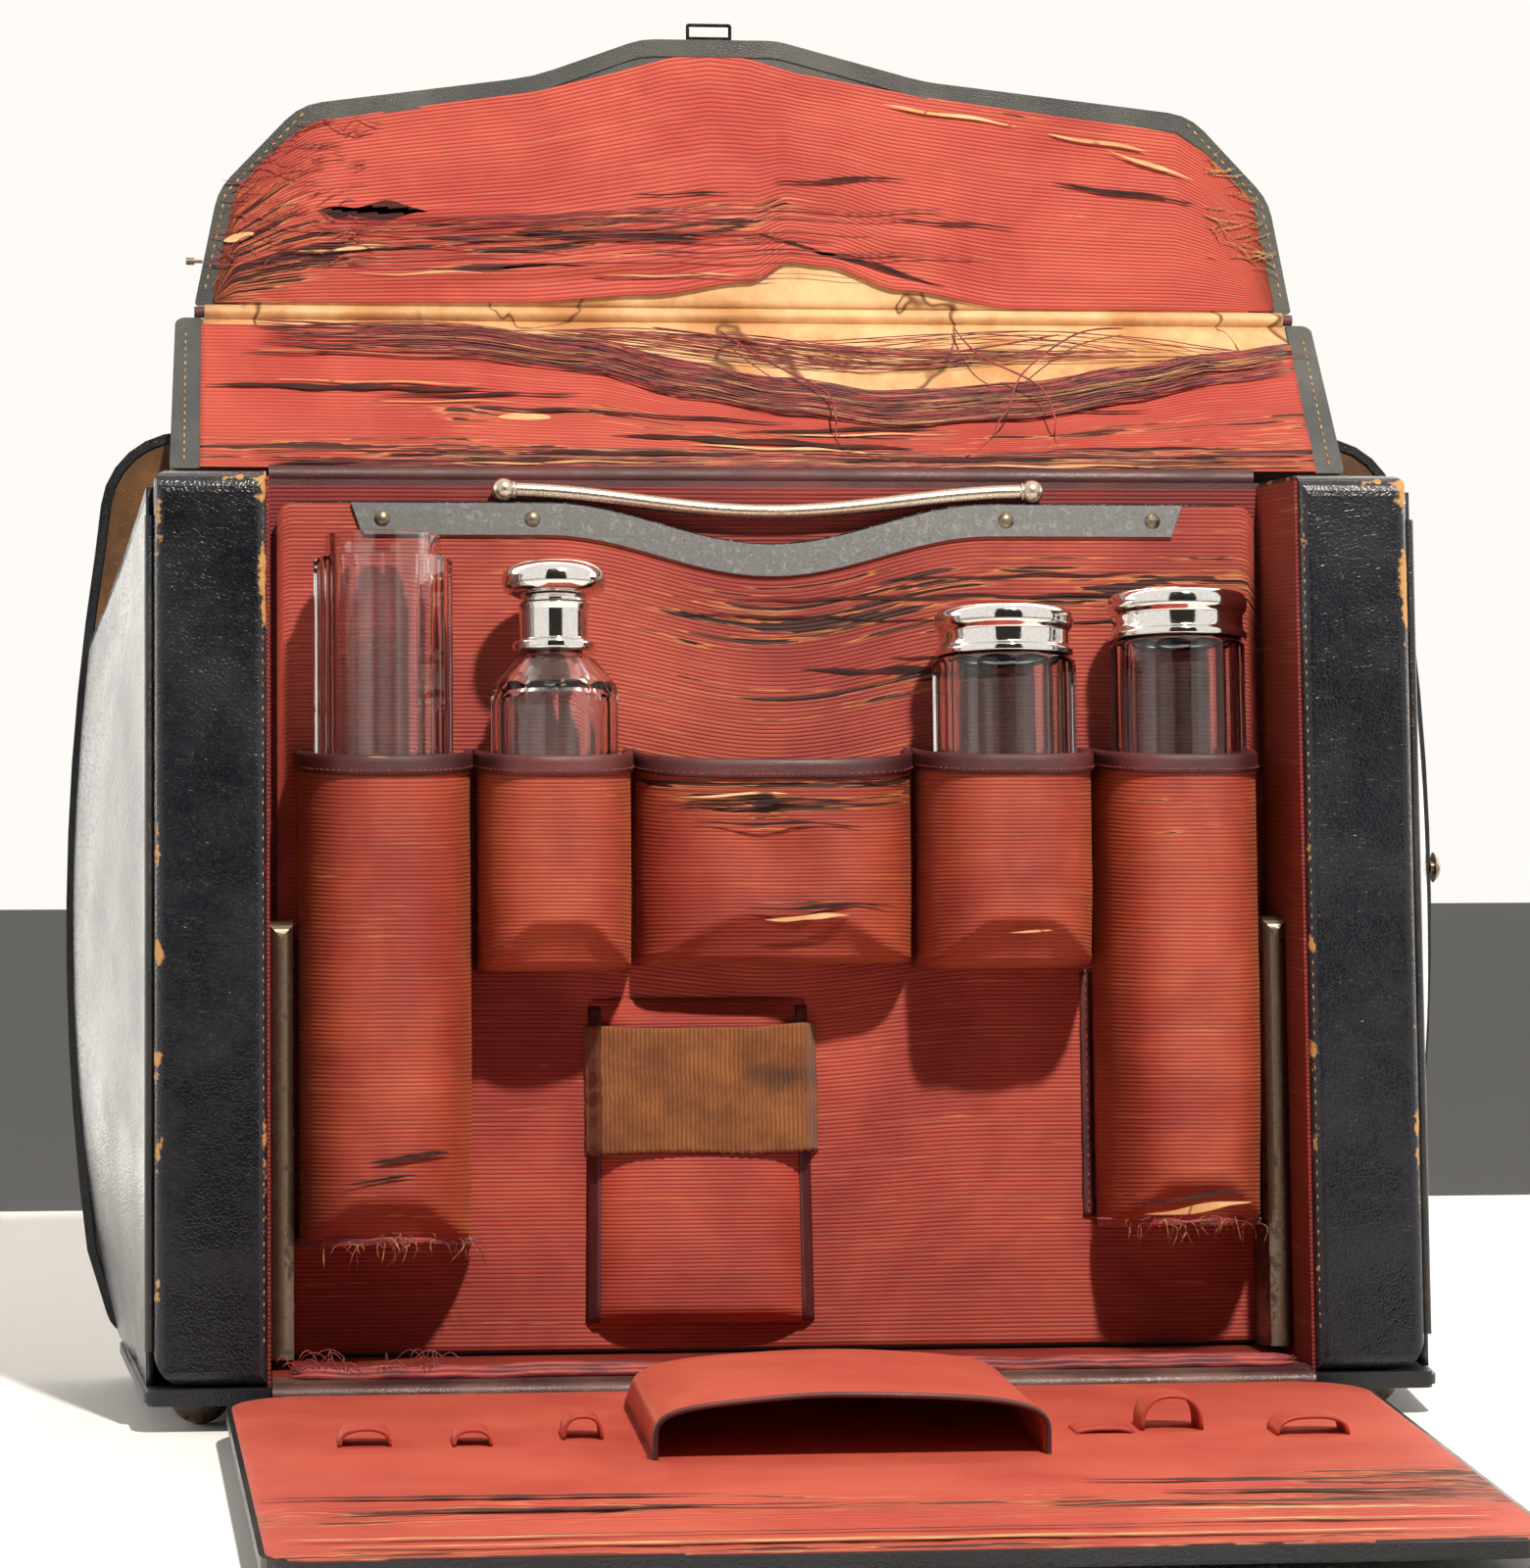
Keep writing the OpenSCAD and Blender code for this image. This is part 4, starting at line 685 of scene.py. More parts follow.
class CASE_OT_gussets(PieceOperator, bpy.types.Operator):
    """Flared leather ends between the pillars and the back rim"""
    bl_idname = "case.gussets"
    bl_label = "End gussets"

    def execute(self, context):
        lead = leather_finish("gusset_leather", paint(26, 28, 36), paint(48, 50, 58), paint(150, 124, 92),
                              pebble=700.0, wrinkle=0.3, gloss=(0.14, 0.26), depth=0.08)
        for side, node in ((-1, "left_gusset"), (1, "right_gusset")):
            low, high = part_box(node)
            inner, outer = (high.x, low.x) if side < 0 else (low.x, high.x)

            def place(a, b):
                z = mix(5.4, 246 - 42 * (a ** 1.4), b)
                w = (z + 7.2 * math.sin(LEAN)) / math.cos(LEAN)
                y0 = FRONT_Y + 7.2 * math.cos(LEAN) + w * math.sin(LEAN)
                x1 = 199.5 - 8.5 * ((z - 120) / 110) ** 2 - 0.8 - 2.2 - 0.6 - 4 * (1 - b) ** 6
                x = mix(172.7, x1, a ** 1.2) + 2.5 * math.sin(math.pi * a) * math.sin(math.pi * b) + 2.2
                x += 0.5 * rough(a * 90, b * 240, 30, side) * math.sin(math.pi * a) - 0.2
                return Vector((side * x, mix(y0, 49.7, a), z)) * MM

            bm = woven(36, 60, place, lambda a, b: (0.1 * a, 0.24 * b), back=side < 0)
            obj = piece(node + "_skin", bm, lead, "case")
            thicken(obj, 1.9)
            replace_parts(obj, node)
        return {"FINISHED"}


def panel_top(x):
    """Height of the panel's upper edge with its hand dip and rounded corners."""
    top = PANEL_TOP - 0.7
    if abs(x) < 63.5:
        top -= 11.6 * (0.5 + 0.5 * math.cos(math.pi * x / 63.5))
    corner = max(0.0, abs(x) - 135.3)
    return top - (4 - math.sqrt(max(0.0, 16 - corner * corner)))


class CASE_OT_panel_silk(PieceOperator, bpy.types.Operator):
    """Ribbed silk that covers the lift-out panel"""
    bl_idname = "case.panel_silk"
    bl_label = "Panel lining"

    def execute(self, context):
        def place(a, b):
            x = mix(-139.3, 139.3, a)
            w = mix(12.7, panel_top(x), b)
            lift = 0.25 + 0.22 * rough(x, w * 3, 40) * self.torn(a, b)
            return leaning(x, 50.1 - lift, w)

        bm = woven(150, 150, place, lambda a, b: (0.278 * a, 0.2373 * b), self.torn)
        obj = piece("panel_silk", bm, FINISH["panel_silk"], "panel")
        thicken(obj, 0.6)
        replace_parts(obj, "panel_lining")
        return {"FINISHED"}

    @staticmethod
    def torn(a, b):
        """Where the panel's silk is split: under the plate on the right, and above the wide pocket."""
        x, w = mix(-139, 139, a), mix(12.7, 250, b)
        upper = bump(w, 226, 10) * step(-90, 10, x)
        middle = bump(w, 203, 5) * bump(x, 25, 50)
        return min(1.0, 0.25 + 0.7 * upper + 0.7 * middle)


POCKETS = {
    "tube_pocket": (-133.8, -85.7, 42.6, 43.5, 2.7),
    "bottle_pocket": (-84.1, -41.1, 117.7, 41.8, 3.0),
    "wide_pocket": (-39.5, 38.1, 119.5, 31.0, 3.0),
    "jar_pocket": (39.7, 88.2, 117.8, 44.4, 3.0),
    "tall_jar_pocket": (90.5, 134.6, 45.4, 43.4, 3.2),
}
PANEL_V, MOUTH_W, MOUTH_FALL, FOOT_RISE = 50.0, 180.0, 6.0, 10.0


def round_plan(pocket, a, power, inset=0.0):
    """Point of a pocket's plan: a runs from its left seam to its right seam, and gives x and depth."""
    left, right, foot, depth, _ = POCKETS[pocket]
    half, turn = (right - left) / 2 - inset, math.pi * (1 - a)
    c, s = math.cos(turn), math.sin(turn)
    return ((left + right) / 2 + half * math.copysign(abs(c) ** (2 / power), c),
            (depth - inset) * abs(s) ** (2 / power))


def around(a):
    """Spreads the steps along a pocket's plan more evenly."""
    return a - 0.055 * math.sin(4 * math.pi * a)


class CASE_OT_pockets(PieceOperator, bpy.types.Operator):
    """Five sewn silk pockets with folded undersides and bound mouths"""
    bl_idname = "case.pockets"
    bl_label = "Pockets"

    def execute(self, context):
        for seed, pocket in enumerate(POCKETS):
            self.body(pocket, seed)
        self.bindings()
        self.frayed_feet()
        return {"FINISHED"}

    def body(self, pocket, seed):
        left, right, foot, depth, power = POCKETS[pocket]
        reach = right - left + 1.5 * depth

        def wall(a, b):
            a = around(a)
            x, d = round_plan(pocket, a, mix(2.5, power, step(0, 0.4, b)))
            w = mix(foot + 0.5, MOUTH_W - MOUTH_FALL * d / depth, b)
            off = abs(2 * x - left - right) / (right - left)
            crease = 1 + (FOOT_RISE + 1) * (1 - step(0.30, 0.98, off))
            fold = max(0.0, 1 - (w - foot) / crease)
            d *= 1 - 0.24 * fold - 0.02 * math.sin(math.pi * fold)
            slack = math.sin(math.pi * min(1, b * 1.1)) * step(0, 0.2, a) * step(1, 0.8, a)
            d += slack * (0.9 * rough(x, w * 2.2, 26, seed) - 0.5)
            if pocket == "wide_pocket":
                d -= 2.2 * slack * bump(x + 0.35 * w, 48, 9) - 1.2 * slack * bump(x + 0.3 * w, 62, 7)
            return leaning(x, PANEL_V - d, w)

        def underside(a, b):
            x, d = round_plan(pocket, around(a), 2.5)
            sag = 0.8 * math.sin(math.pi * b) * math.sin(math.pi * a)
            return leaning(x, PANEL_V - 0.76 * d * b, foot + 0.5 - sag)

        height = MOUTH_W - foot

        def torn(a, b):
            worn = 0.30 * bump(b, 0.85, 0.12) + 0.35 * bump(b, 0.08, 0.06)
            if pocket == "wide_pocket":
                worn += 0.55 * bump(b, 0.82, 0.16) + 0.7 * bump(b, 0.30, 0.05) * bump(a, 0.55, 0.15)
            return min(0.9, worn)

        bm = bmesh.new()
        weave_grid(bm, 72, 60, wall, lambda a, b: (reach * MM * a + seed * 0.3, height * MM * b), torn)
        weave_grid(bm, 72, 12, underside, lambda a, b: (reach * MM * a + seed * 0.3, -depth * MM * (1 - b)))
        bmesh.ops.remove_doubles(bm, verts=bm.verts[:], dist=0.00002)
        obj = piece(pocket + "_silk", bm, FINISH["pocket_silk"], "panel")
        thicken(obj, 0.9)
        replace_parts(obj, pocket)

    def bindings(self):
        bm, sewn = bmesh.new(), bmesh.new()
        for pocket, (left, right, foot, depth, power) in POCKETS.items():
            def edge(a, b):
                a = around(a)
                turn = (b - 0.5) * 2
                out = 0.62 * math.cos(min(1, abs(turn) * 3) * math.pi / 2) if abs(turn) < 0.33 else 0
                inset = -0.75 * (1 if turn < 0 else -1.9) * min(1, abs(turn) * 3)
                x, d = round_plan(pocket, a, power, inset)
                fall = 4.6 * max(0, abs(turn) - 0.3) / 0.7
                w = MOUTH_W + 0.3 - MOUTH_FALL * d / depth + out - fall
                return leaning(x, PANEL_V - d, w)

            weave_grid(bm, 64, 12, edge, lambda a, b: (0.1 * a, 0.01 * b))
            line = []
            for k in range(60):
                x, d = round_plan(pocket, around(0.02 + 0.96 * k / 59), power, -0.95)
                line.append(leaning(x, PANEL_V - d, MOUTH_W - 3.2 - MOUTH_FALL * d / depth))
            for a, b in zip(line, line[1:]):
                sideways = Vector((math.copysign(1, a.x - (left + right) / 2 * MM), 0, 0))
                out = FRONTWARDS if abs((b - a).normalized().y) < 0.7 else sideways
                stitches(sewn, [a, b], 2.0, 1.2, 0.22, out)
        strip = bmesh.ops.create_grid(bm, x_segments=3, y_segments=30, size=0.5)["verts"]
        for v in strip:
            a, b = v.co.x + 0.5, v.co.y + 0.5
            v.co = leaning(mix(86.6, 90.0, a) + 0.25 * rough(b * 70, 0, 5),
                           PANEL_V - 0.35 - 0.5 * math.sin(math.pi * a), mix(48, 117, b))
        close_up(bm, 1e-5)
        obj = piece("pocket_edges", bm, FINISH["binding"], "panel")
        thicken(obj, 0.3, 0.0)
        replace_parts(obj, "pocket_bindings")
        line = [leaning(88.3, PANEL_V - 1.0, w) for w in (48, 117)]
        stitches(sewn, line, 2.6, 1.8, 0.35, FRONTWARDS)
        piece("pocket_stitching", sewn, FINISH["thread"], "panel")

    def frayed_feet(self):
        """Rolled seams and broken threads along the feet of the two long pockets."""
        bm, tan = bmesh.new(), bmesh.new()
        chance = random.Random(7)
        for pocket in ("tube_pocket", "tall_jar_pocket"):
            left, right, foot, depth, power = POCKETS[pocket]

            def seam(a, shift=0.0, lift=0.0):
                x, d = round_plan(pocket, around(a), 2.5, -0.4 - lift)
                return leaning(x, PANEL_V - 0.78 * d, foot + 1.0 + shift + 0.8 * rough(x, shift * 9, 7))

            for k in range(3):
                strand(bm, lambda a, k=k: seam(mix(0.06, 0.94, a), 0.5 * k - 0.6, 0.15 * k), 0.55, 5, 60, 0.03)
            for k in range(46):
                start = chance.uniform(0.25, 0.9)
                root = seam(start, chance.uniform(-1, 2))
                lean_x, fall = chance.gauss(0, 2.5), chance.uniform(2, 9)
                curl = chance.uniform(-3, 3)
                strand(bm if k % 3 else tan,
                       lambda a, r=root, lx=lean_x, f=fall, c=curl: r + Vector((
                           lx * a + c * math.sin(3 * a), -0.6 - 2.2 * math.sin(2.2 * a), -f * a * a + 1.2 * a)) * MM,
                       chance.uniform(0.09, 0.2), 3, 8)
        close_up(bm)
        close_up(tan)
        piece("pocket_frays", bm, FINISH["thread"], "panel")
        piece("pocket_tan_frays", tan, FINISH["tan_thread"], "panel")


class CASE_OT_pouch(PieceOperator, bpy.types.Operator):
    """Soft pouch with bound sides, held by a corded band"""
    bl_idname = "case.pouch"
    bl_label = "Pouch and band"

    def execute(self, context):
        x0, x1, foot, head = -51.7, 9.2, 19.2, 110.0

        def front(a, b):
            x, w = mix(x0, x1, a), mix(foot, head, b)
            edge = (abs(2 * a - 1)) ** 5
            deep = 9.6 * (1 - 0.14 * bump(b, 0.66, 0.12)) + 0.7 * rough(x, w, 18, 4) + 0.8 * bump(b, 0.22, 0.2)
            curl = math.sqrt(max(0, 1 - (1 - min(1, b / 0.06)) ** 2)) * mix(1, 0.2, step(0.93, 1, b))
            return leaning(x + 1.2 * (2 * a - 1) * (1 - b) - 0.8, PANEL_V - 0.2 - deep * curl * (1 - edge), w)

        bm = woven(60, 70, front, lambda a, b: (0.061 * a + 2, 0.1 * b))
        body = piece("pouch_silk", bm, FINISH["panel_silk"], "panel")
        thicken(body, 0.8)
        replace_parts(body, "pouch")
        bm = bmesh.new()
        for side in (0, 1):
            def tape(a, b, side=side):
                at = mix(-0.006, 0.05, a) if side == 0 else mix(0.95, 1.006, a)
                spot = front(min(1, max(0, at)), mix(0.01, 0.98, b))
                return spot + Vector(((at - min(1, max(0, at))) * 60, -0.55 - 0.3 * math.sin(math.pi * a), 0)) * MM
            weave_grid(bm, 4, 60, tape, lambda a, b: (0.004 * a, 0.1 * b))
        tapes = piece("pouch_bindings", bm, FINISH["binding"], "panel")
        thicken(tapes, 0.4)
        band_x0, band_x1 = -54.0, 11.5

        def band(a, b):
            x = mix(band_x0, band_x1, a)
            low = 66.9 + 0.7 * math.sin(a * 150) * 0.4 + 0.8 * rough(x, 1, 20)
            high = 102.8 + 0.5 * rough(x, 5, 12) - 1.2 * step(0, 0.25, a) * step(1, 0.6, a)
            w = mix(low, high, b)
            wrap = step(0, 0.07, a) * step(1, 0.93, a)
            sag = 0.8 * rough(x, w, 24, 3.0) - 1.4 * bump(x, 1, 9) * bump(w, 84, 8)
            return leaning(x + 0.6 * rough(w, 2, 4), PANEL_V - 0.6 - wrap * (10.3 + sag), w)

        bm = woven(90, 30, band, lambda a, b: (0.0655 * a, 0.036 * b))
        ribbon = piece("band_ribbon", bm, FINISH["ribbon"], "panel")
        thicken(ribbon, 0.7)
        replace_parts(ribbon, "elastic_band")
        return {"FINISHED"}


class CASE_OT_lid_silk(PieceOperator, bpy.types.Operator):
    """Torn silk over the lid and its flap, with the pasteboard showing through"""
    bl_idname = "case.lid_silk"
    bl_label = "Lid and flap lining"

    # Edges of the big tear: x and the distance from the hinge on the lid, or from the fold on the flap
    LOWER = [
        (-161, 63), (-90, 62), (-50, 56), (-20, 46), (10, 38), (40, 35), (75, 37), (110, 45),
        (140, 53), (161, 57)]
    UPPER = [
        (-161, 3), (-70, 3.5), (-30, 6), (0, 10), (12, 16), (22, 15), (45, 8), (80, 2.8), (161, 2.8)]

    def execute(self, context):
        self.board()
        self.lid_sheet()
        self.flap_sheet()
        self.threads()
        return {"FINISHED"}

    def board(self):
        bm = woven(60, 20, lambda a, b: on_lid(mix(-160.6, 160.6, a), mix(4, LID_LEN - 2.2, b), 0.45))
        obj = piece("lid_pasteboard", bm, FINISH["board"], "lid")
        thicken(obj, 0.25)
        bm = woven(60, 10, lambda a, b: on_flap(mix(-150, 150, a), mix(2.4, 30, b), 0.45))
        thicken(piece("flap_pasteboard", bm, FINISH["board"], "flap"), 0.25)
        bm = woven(60, 12, self.hinge_cloth)
        joint = piece("fold_cloth", bm, FINISH["board"], None)
        thicken(joint, 0.25)
        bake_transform(joint)

    @staticmethod
    def hinge_cloth(a, b):
        low, high = on_lid(0, LID_LEN - 2.4, 0.4), on_flap(0, 2.4, 0.4)
        turn = math.sin(math.pi * b)
        spot = low.lerp(high, b) + Vector((0, -2.2, 0.4)) * MM * turn
        return Vector((mix(-160, 160, a) * MM, spot.y, spot.z))

    def lid_sheet(self):
        def place(a, b):
            x = mix(-LID_HALF, LID_HALF, a)
            edge = min(through(self.LOWER, x), LID_LEN - 2.2)
            t = mix(3.4, edge, b)
            droop = 2.4 * bump(t, 14, 5) * step(-150, -60, x) + 1.0 * bump(t, 4.5, 2.5)
            ripple = 0.7 * rough(x / 3, t * 2, 9) * (0.4 + self.torn_lid(a, b))
            lip = 1.6 * step(0.86, 1.0, b) * step(-110, -40, x) * (0.5 + 0.5 * rough(x, 3, 14))
            return on_lid(x, t, 0.1 - min(self.lid_room(x, t), 0.35 * droop + ripple * 0.8 + lip))

        bm = woven(200, 70, place, lambda a, b: (0.322 * a + 3, 0.0012 * 48 * b), self.torn_lid)
        obj = piece("lid_silk", bm, FINISH["silk"], "lid")
        thicken(obj, self.sizes.cloth)
        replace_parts(obj, "lid_lining")

    @staticmethod
    def lid_room(x, t):
        """How far the lining may stand off the lid and still clear what lies under the closed lid."""
        if t < 17:
            return 0.35 if abs(x) < 84 else 0.8
        return 0.8 if abs(x) > 134 else 8.0

    @staticmethod
    def flap_room(x, s):
        return -0.4 if s > 44 and abs(x + 12) < 22 else 0.85

    @staticmethod
    def torn_lid(a, b):
        x = mix(-LID_HALF, LID_HALF, a)
        edge = step(0.55, 1.0, b) * step(-100, -10, x)
        foot = bump(b, 0.12, 0.14)
        middle = 0.75 * bump(b, 0.42, 0.12) * step(-140, -90, x)
        return min(1.0, 0.95 * edge + 0.95 * foot + middle)

    def outline(self, x):
        """Top of the flap's lining, 5 mm inside the flap's own edge."""
        line = [(-158, 4), (-151, 36), (-137, 50), (-128, 56), (-100, 60.5), (-64, 65.5), (-38, 72), (-24, 76),
                (-12, 77.5), (0, 76), (14, 72), (52, 65.5), (90, 60.5), (128, 56), (137, 50), (151, 36), (158, 4)]
        for (xa, ya), (xb, yb) in zip(line, line[1:]):
            if x <= xb:
                return mix(ya, yb, (x - xa) / (xb - xa))
        return 4

    def flap_sheet(self):
        def place(a, b):
            x = FLAP_HALF * (2 * a - 1)
            low = through(self.UPPER, x)
            high = max(low + 0.5, self.outline(x))
            s = mix(low, high, b)
            fold = 1.3 * bump(s, 26 - 0.04 * x, 2.6) * step(-150, -110, x) * step(70, 20, x)
            fold += 1.1 * bump(s, 18 + 0.07 * x, 2.4) * step(-140, -60, x) * step(60, 10, x)
            lip = 1.8 * step(0.10, 0.0, b) * bump(x, 15, 60)
            return on_flap(x, s, 0.1 - min(self.flap_room(x, s), fold + lip + 0.4 * rough(x / 4, s, 10)))

        bm = woven(210, 80, place, lambda a, b: (0.315 * a + 5, 0.0012 * 60 * b), self.torn_flap)
        obj = piece("flap_silk", bm, FINISH["silk"], "flap")
        thicken(obj, self.sizes.cloth)
        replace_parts(obj, "flap_lining")

    @staticmethod
    def torn_flap(a, b):
        x = FLAP_HALF * (2 * a - 1)
        left = step(-110, -150, x)
        right = 0.6 * step(80, 150, x) * bump(b, 0.62, 0.22)
        low = 0.85 * bump(b, 0.28, 0.14) * step(80, -20, x)
        top = 0.6 * step(0.93, 1.0, b) * step(0, 50, x)
        return min(1.0, 0.9 * left + right + low + top)

    def threads(self):
        chance = random.Random(11)
        lid, flap, tan = bmesh.new(), bmesh.new(), bmesh.new()
        for k in range(self.sizes.frays):
            start = chance.uniform(-150, 60)
            end = min(160, start + chance.uniform(50, 210))
            depth, over = chance.random() ** 1.5, chance.uniform(0.2, 1.5)
            wave, kind = chance.uniform(0, 6), chance.random()

            def path(a, s=start, e=end, d=depth, o=over, w=wave):
                x = mix(s, e, a)
                edge = through(self.LOWER, x)
                t = edge - 13 * d + 1.6 * rough(x, w * 9, 30) + 0.7 * math.sin(0.06 * x + w)
                t = min(t, LID_LEN - 3)
                return on_lid(x, t, -min(self.lid_room(x, t), 0.5 + o + 0.8 * rough(x, w, 22)))

            strand(lid if kind < 0.8 else tan, path, chance.uniform(0.13, 0.32), 3, 18, 0.05)
        for k in range(60):
            start = chance.uniform(-150, 90)
            end = min(160, start + chance.uniform(40, 160))
            level, wave = chance.uniform(3.6, 11), chance.uniform(0, 6)
            strand(lid if k % 4 else tan,
                   lambda a, s=start, e=end, t=level, w=wave: on_lid(
                       mix(s, e, a), t + 1.2 * rough(mix(s, e, a), w * 7, 26), -self.lid_room(mix(s, e, a), t)),
                   chance.uniform(0.14, 0.3), 3, 16, 0.05)
        for k in range(34):
            start = chance.uniform(-95, 30)
            end = start + chance.uniform(60, 150)
            rise, wave = chance.uniform(-6, 9), chance.uniform(0, 6)

            def sagging(a, s=start, e=end, r=rise, w=wave):
                x = mix(s, e, a)
                t = mix(60, 52, a) + r * math.sin(math.pi * a) - 9 * bump(x, 30, 45) * abs(math.sin(w))
                off = 0.9 * abs(math.sin(w + 4 * a)) if abs(x) < 130 else 0
                return on_lid(x, min(LID_LEN - 3.2, t), -0.75 - off)

            strand(lid, sagging, chance.uniform(0.13, 0.24), 3, 18, 0.05)
        for k in range(150):
            root_x = chance.uniform(-157, -112) if k % 4 else chance.uniform(138, 156)
            root_s = min(chance.uniform(14, 60), self.outline(root_x) + 1)
            out = math.copysign(chance.uniform(3, 12), root_x)
            drop, wave = chance.uniform(-5, 3), chance.uniform(0, 6)
            strand(flap if k % 4 else tan,
                   lambda a, x=root_x, s=root_s, o=out, d=drop, w=wave: on_flap(
                       x - 0.6 * o + o * a, s + d * a * a + 0.8 * math.sin(w + 3 * a),
                       -0.5 - 0.4 * abs(math.sin(w + 2 * a))),
                   chance.uniform(0.1, 0.22), 3, 8, 0.2)
        for k in range(26):
            start = chance.uniform(-150, -20)
            end = start + chance.uniform(50, 120)
            level, wave = chance.uniform(14, 27), chance.uniform(0, 6)

            def drawn(a, s=start, e=end, l=level, w=wave):
                x = mix(s, e, a)
                return on_flap(x, l + 5 * step(-150, 0, x) * math.sin(w) + 1.5 * rough(x, w * 5, 24), -0.95)

            strand(flap, drawn, chance.uniform(0.12, 0.24), 3, 16, 0.05)
        # Long loose threads that have pulled out and hang across the tear
        loops = [[(-10, 60, 2), (4, 44, 4), (20, 30, 5), (24, 12, 7), (52, 4, 9), (66, 3, 6)],
                 [(112, 62, 2), (96, 56, 5), (78, 38, 6), (70, 20, 5), (54, 6, 8), (30, 3, 9), (8, 5, 6)],
                 [(-30, 62, 1), (10, 52, 4), (50, 46, 6), (92, 58, 3)],
                 [(60, 62, 2), (66, 44, 7), (82, 30, 8), (86, 14, 5)]]
        for spots in loops:
            def hang(a, spots=spots):
                k = min(len(spots) - 2, int(a * (len(spots) - 1)))
                q = rounded(spots, k, a * (len(spots) - 1) - k)
                return on_lid(q.x, max(3, q.y), -min(self.lid_room(q.x, q.y), q.z))
            strand(lid, hang, 0.3, 4, 60, 0.03)
        for bm in (lid, flap, tan):
            close_up(bm)
        piece("lid_threads", lid, FINISH["thread"], "lid")
        piece("flap_threads", flap, FINISH["thread"], "flap")
        piece("lid_tan_threads", tan, FINISH["tan_thread"], "lid")


class CASE_OT_drop_front(PieceOperator, bpy.types.Operator):
    """Silk, pocket and tool loops of the drop front"""
    bl_idname = "case.drop_front"
    bl_label = "Drop front"

    def execute(self, context):
        def half(d):
            return mix(154, 144, d / 246) - 1.4

        def place(a, b):
            d = mix(3.4, 244.4, b)
            limit = half(d)
            near, far = max(0.0, 22 - d), max(0.0, d - 234)
            limit -= 22 - math.sqrt(max(0, 484 - near * near)) if near else 0
            limit -= 11 - math.sqrt(max(0, 121 - far * far)) if far else 0
            x = mix(-limit, limit, a)
            lift = 0.35 + 0.9 * self.torn(a, b) * rough(x / 4, d, 9)
            lift += 1.3 * bump(d, 178 - 0.06 * x, 4) + 1.0 * bump(d, 205 + 0.05 * x, 3)
            return on_drop(x, d, lift * step(0, 0.03, a) * step(1, 0.97, a) * step(1, 0.97, b))

        bm = woven(150, 140, place, lambda a, b: (0.3 * a + 7, 0.237 * b), self.torn, back=True)
        obj = piece("drop_front_silk", bm, FINISH["silk"], "drop_front")
        thicken(obj, 0.7)
        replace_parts(obj, "front_lining")
        self.pocket()
        self.loops()
        self.crumpled_foot()
        return {"FINISHED"}

    def crumpled_foot(self):
        """Loose silk that has come away along the threshold, with threads hanging from its end."""
        bm, chance = bmesh.new(), random.Random(5)
        for k, (v, w, radius) in enumerate(((7.0, 8.6, 1.5), (4.8, 7.6, 1.0), (9.8, 9.4, 1.1))):
            strand(bm, lambda a, v=v, w=w, k=k: leaning(
                mix(-137, 138, a), v + 1.6 * rough(300 * a, k * 7, 40) + 0.6 * rough(300 * a, k, 9),
                w + 0.6 * rough(300 * a, k * 3, 14)), radius, 7, 150, 0.02)
        for k in range(26):
            x, reach, wave = chance.uniform(-136, -96), chance.uniform(3, 13), chance.uniform(0, 6)
            strand(bm, lambda a, x=x, r=reach, w=wave: leaning(
                x + r * a * math.cos(w), 6.5 - 3 * a * abs(math.sin(w)),
                8.5 + r * 0.5 * math.sin(2.6 * a)), 0.16, 3, 10)
        close_up(bm)
        piece("crumpled_silk", bm, FINISH["thread"], "case")

    @staticmethod
    def torn(a, b):
        x, d = mix(-149, 149, a), mix(3.4, 240.5, b)
        band = bump(d, 160, 22) * step(60, 130, x) + 0.8 * bump(d, 190, 16)
        return min(1.0, band + 0.9 * step(222, 240, d))

    def pocket(self):
        half, high, mouth, end = 48.5, 16.0, 122.0, 22.0

        def shell(a, b):
            c = math.cos(math.pi * a)
            s = (1 - abs(c) ** 7) ** (1 / 7)
            rise = step(-0.02, 0.24, b) ** 0.8
            x = half * c
            o = high * rise * s * (1 - 0.22 * c * c)
            d = mix(end, mouth, b) + 3 * math.sin(math.pi * a) * b
            return on_drop(-x, d - 3, o + 0.35 + 0.4 * rough(x, d, 24) * rise * s)

        bm = woven(64, 50, shell, lambda a, b: (0.12 * a + 9, 0.1 * b), back=True)
        obj = piece("drop_pocket_silk", bm, FINISH["silk"], "drop_front")
        thicken(obj, 0.8)
        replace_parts(obj, "front_pocket")

        bm = bmesh.new()
        strand(bm, lambda a: shell(a, 1.0) + Vector((0, -0.3, -0.4)) * MM, 0.8, 6, 64, 0.0)
        cap_ends(bm, 8)
        close_up(bm)
        edge = piece("drop_pocket_edge", bm, FINISH["binding"], "drop_front")
        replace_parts(edge, "front_pocket_binding")

    def loops(self):
        bm = bmesh.new()
        loops = [(-118.4, 92, 13.3, 4.8), (-91.8, 94, 10, 4.4), (-63.9, 86, 10.4, 6.2),
                 (67.9, 89, 15, 1.5), (85.6, 86, 16, 9.0), (119.5, 97, 19, 5.0)]
        for x0, d0, width, rise in loops:
            def loop(a, b, x0=x0, d0=d0, width=width, rise=rise):
                turn = math.pi * (1 - a)
                x = x0 + width / 2 * math.copysign(abs(math.cos(turn)) ** 0.8, math.cos(turn))
                return on_drop(x, d0 - 12 * (1 - b) + 0.8 * rough(x, x0, 4), 0.4 + rise * math.sin(turn) ** 0.8)
            weave_grid(bm, 18, 6, loop, lambda a, b: (0.02 * a, 0.012 * b))
        bmesh.ops.reverse_faces(bm, faces=bm.faces[:])
        obj = piece("tool_loop_tapes", bm, FINISH["silk"], "drop_front")
        thicken(obj, 0.9)
        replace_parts(obj, "tool_loops")


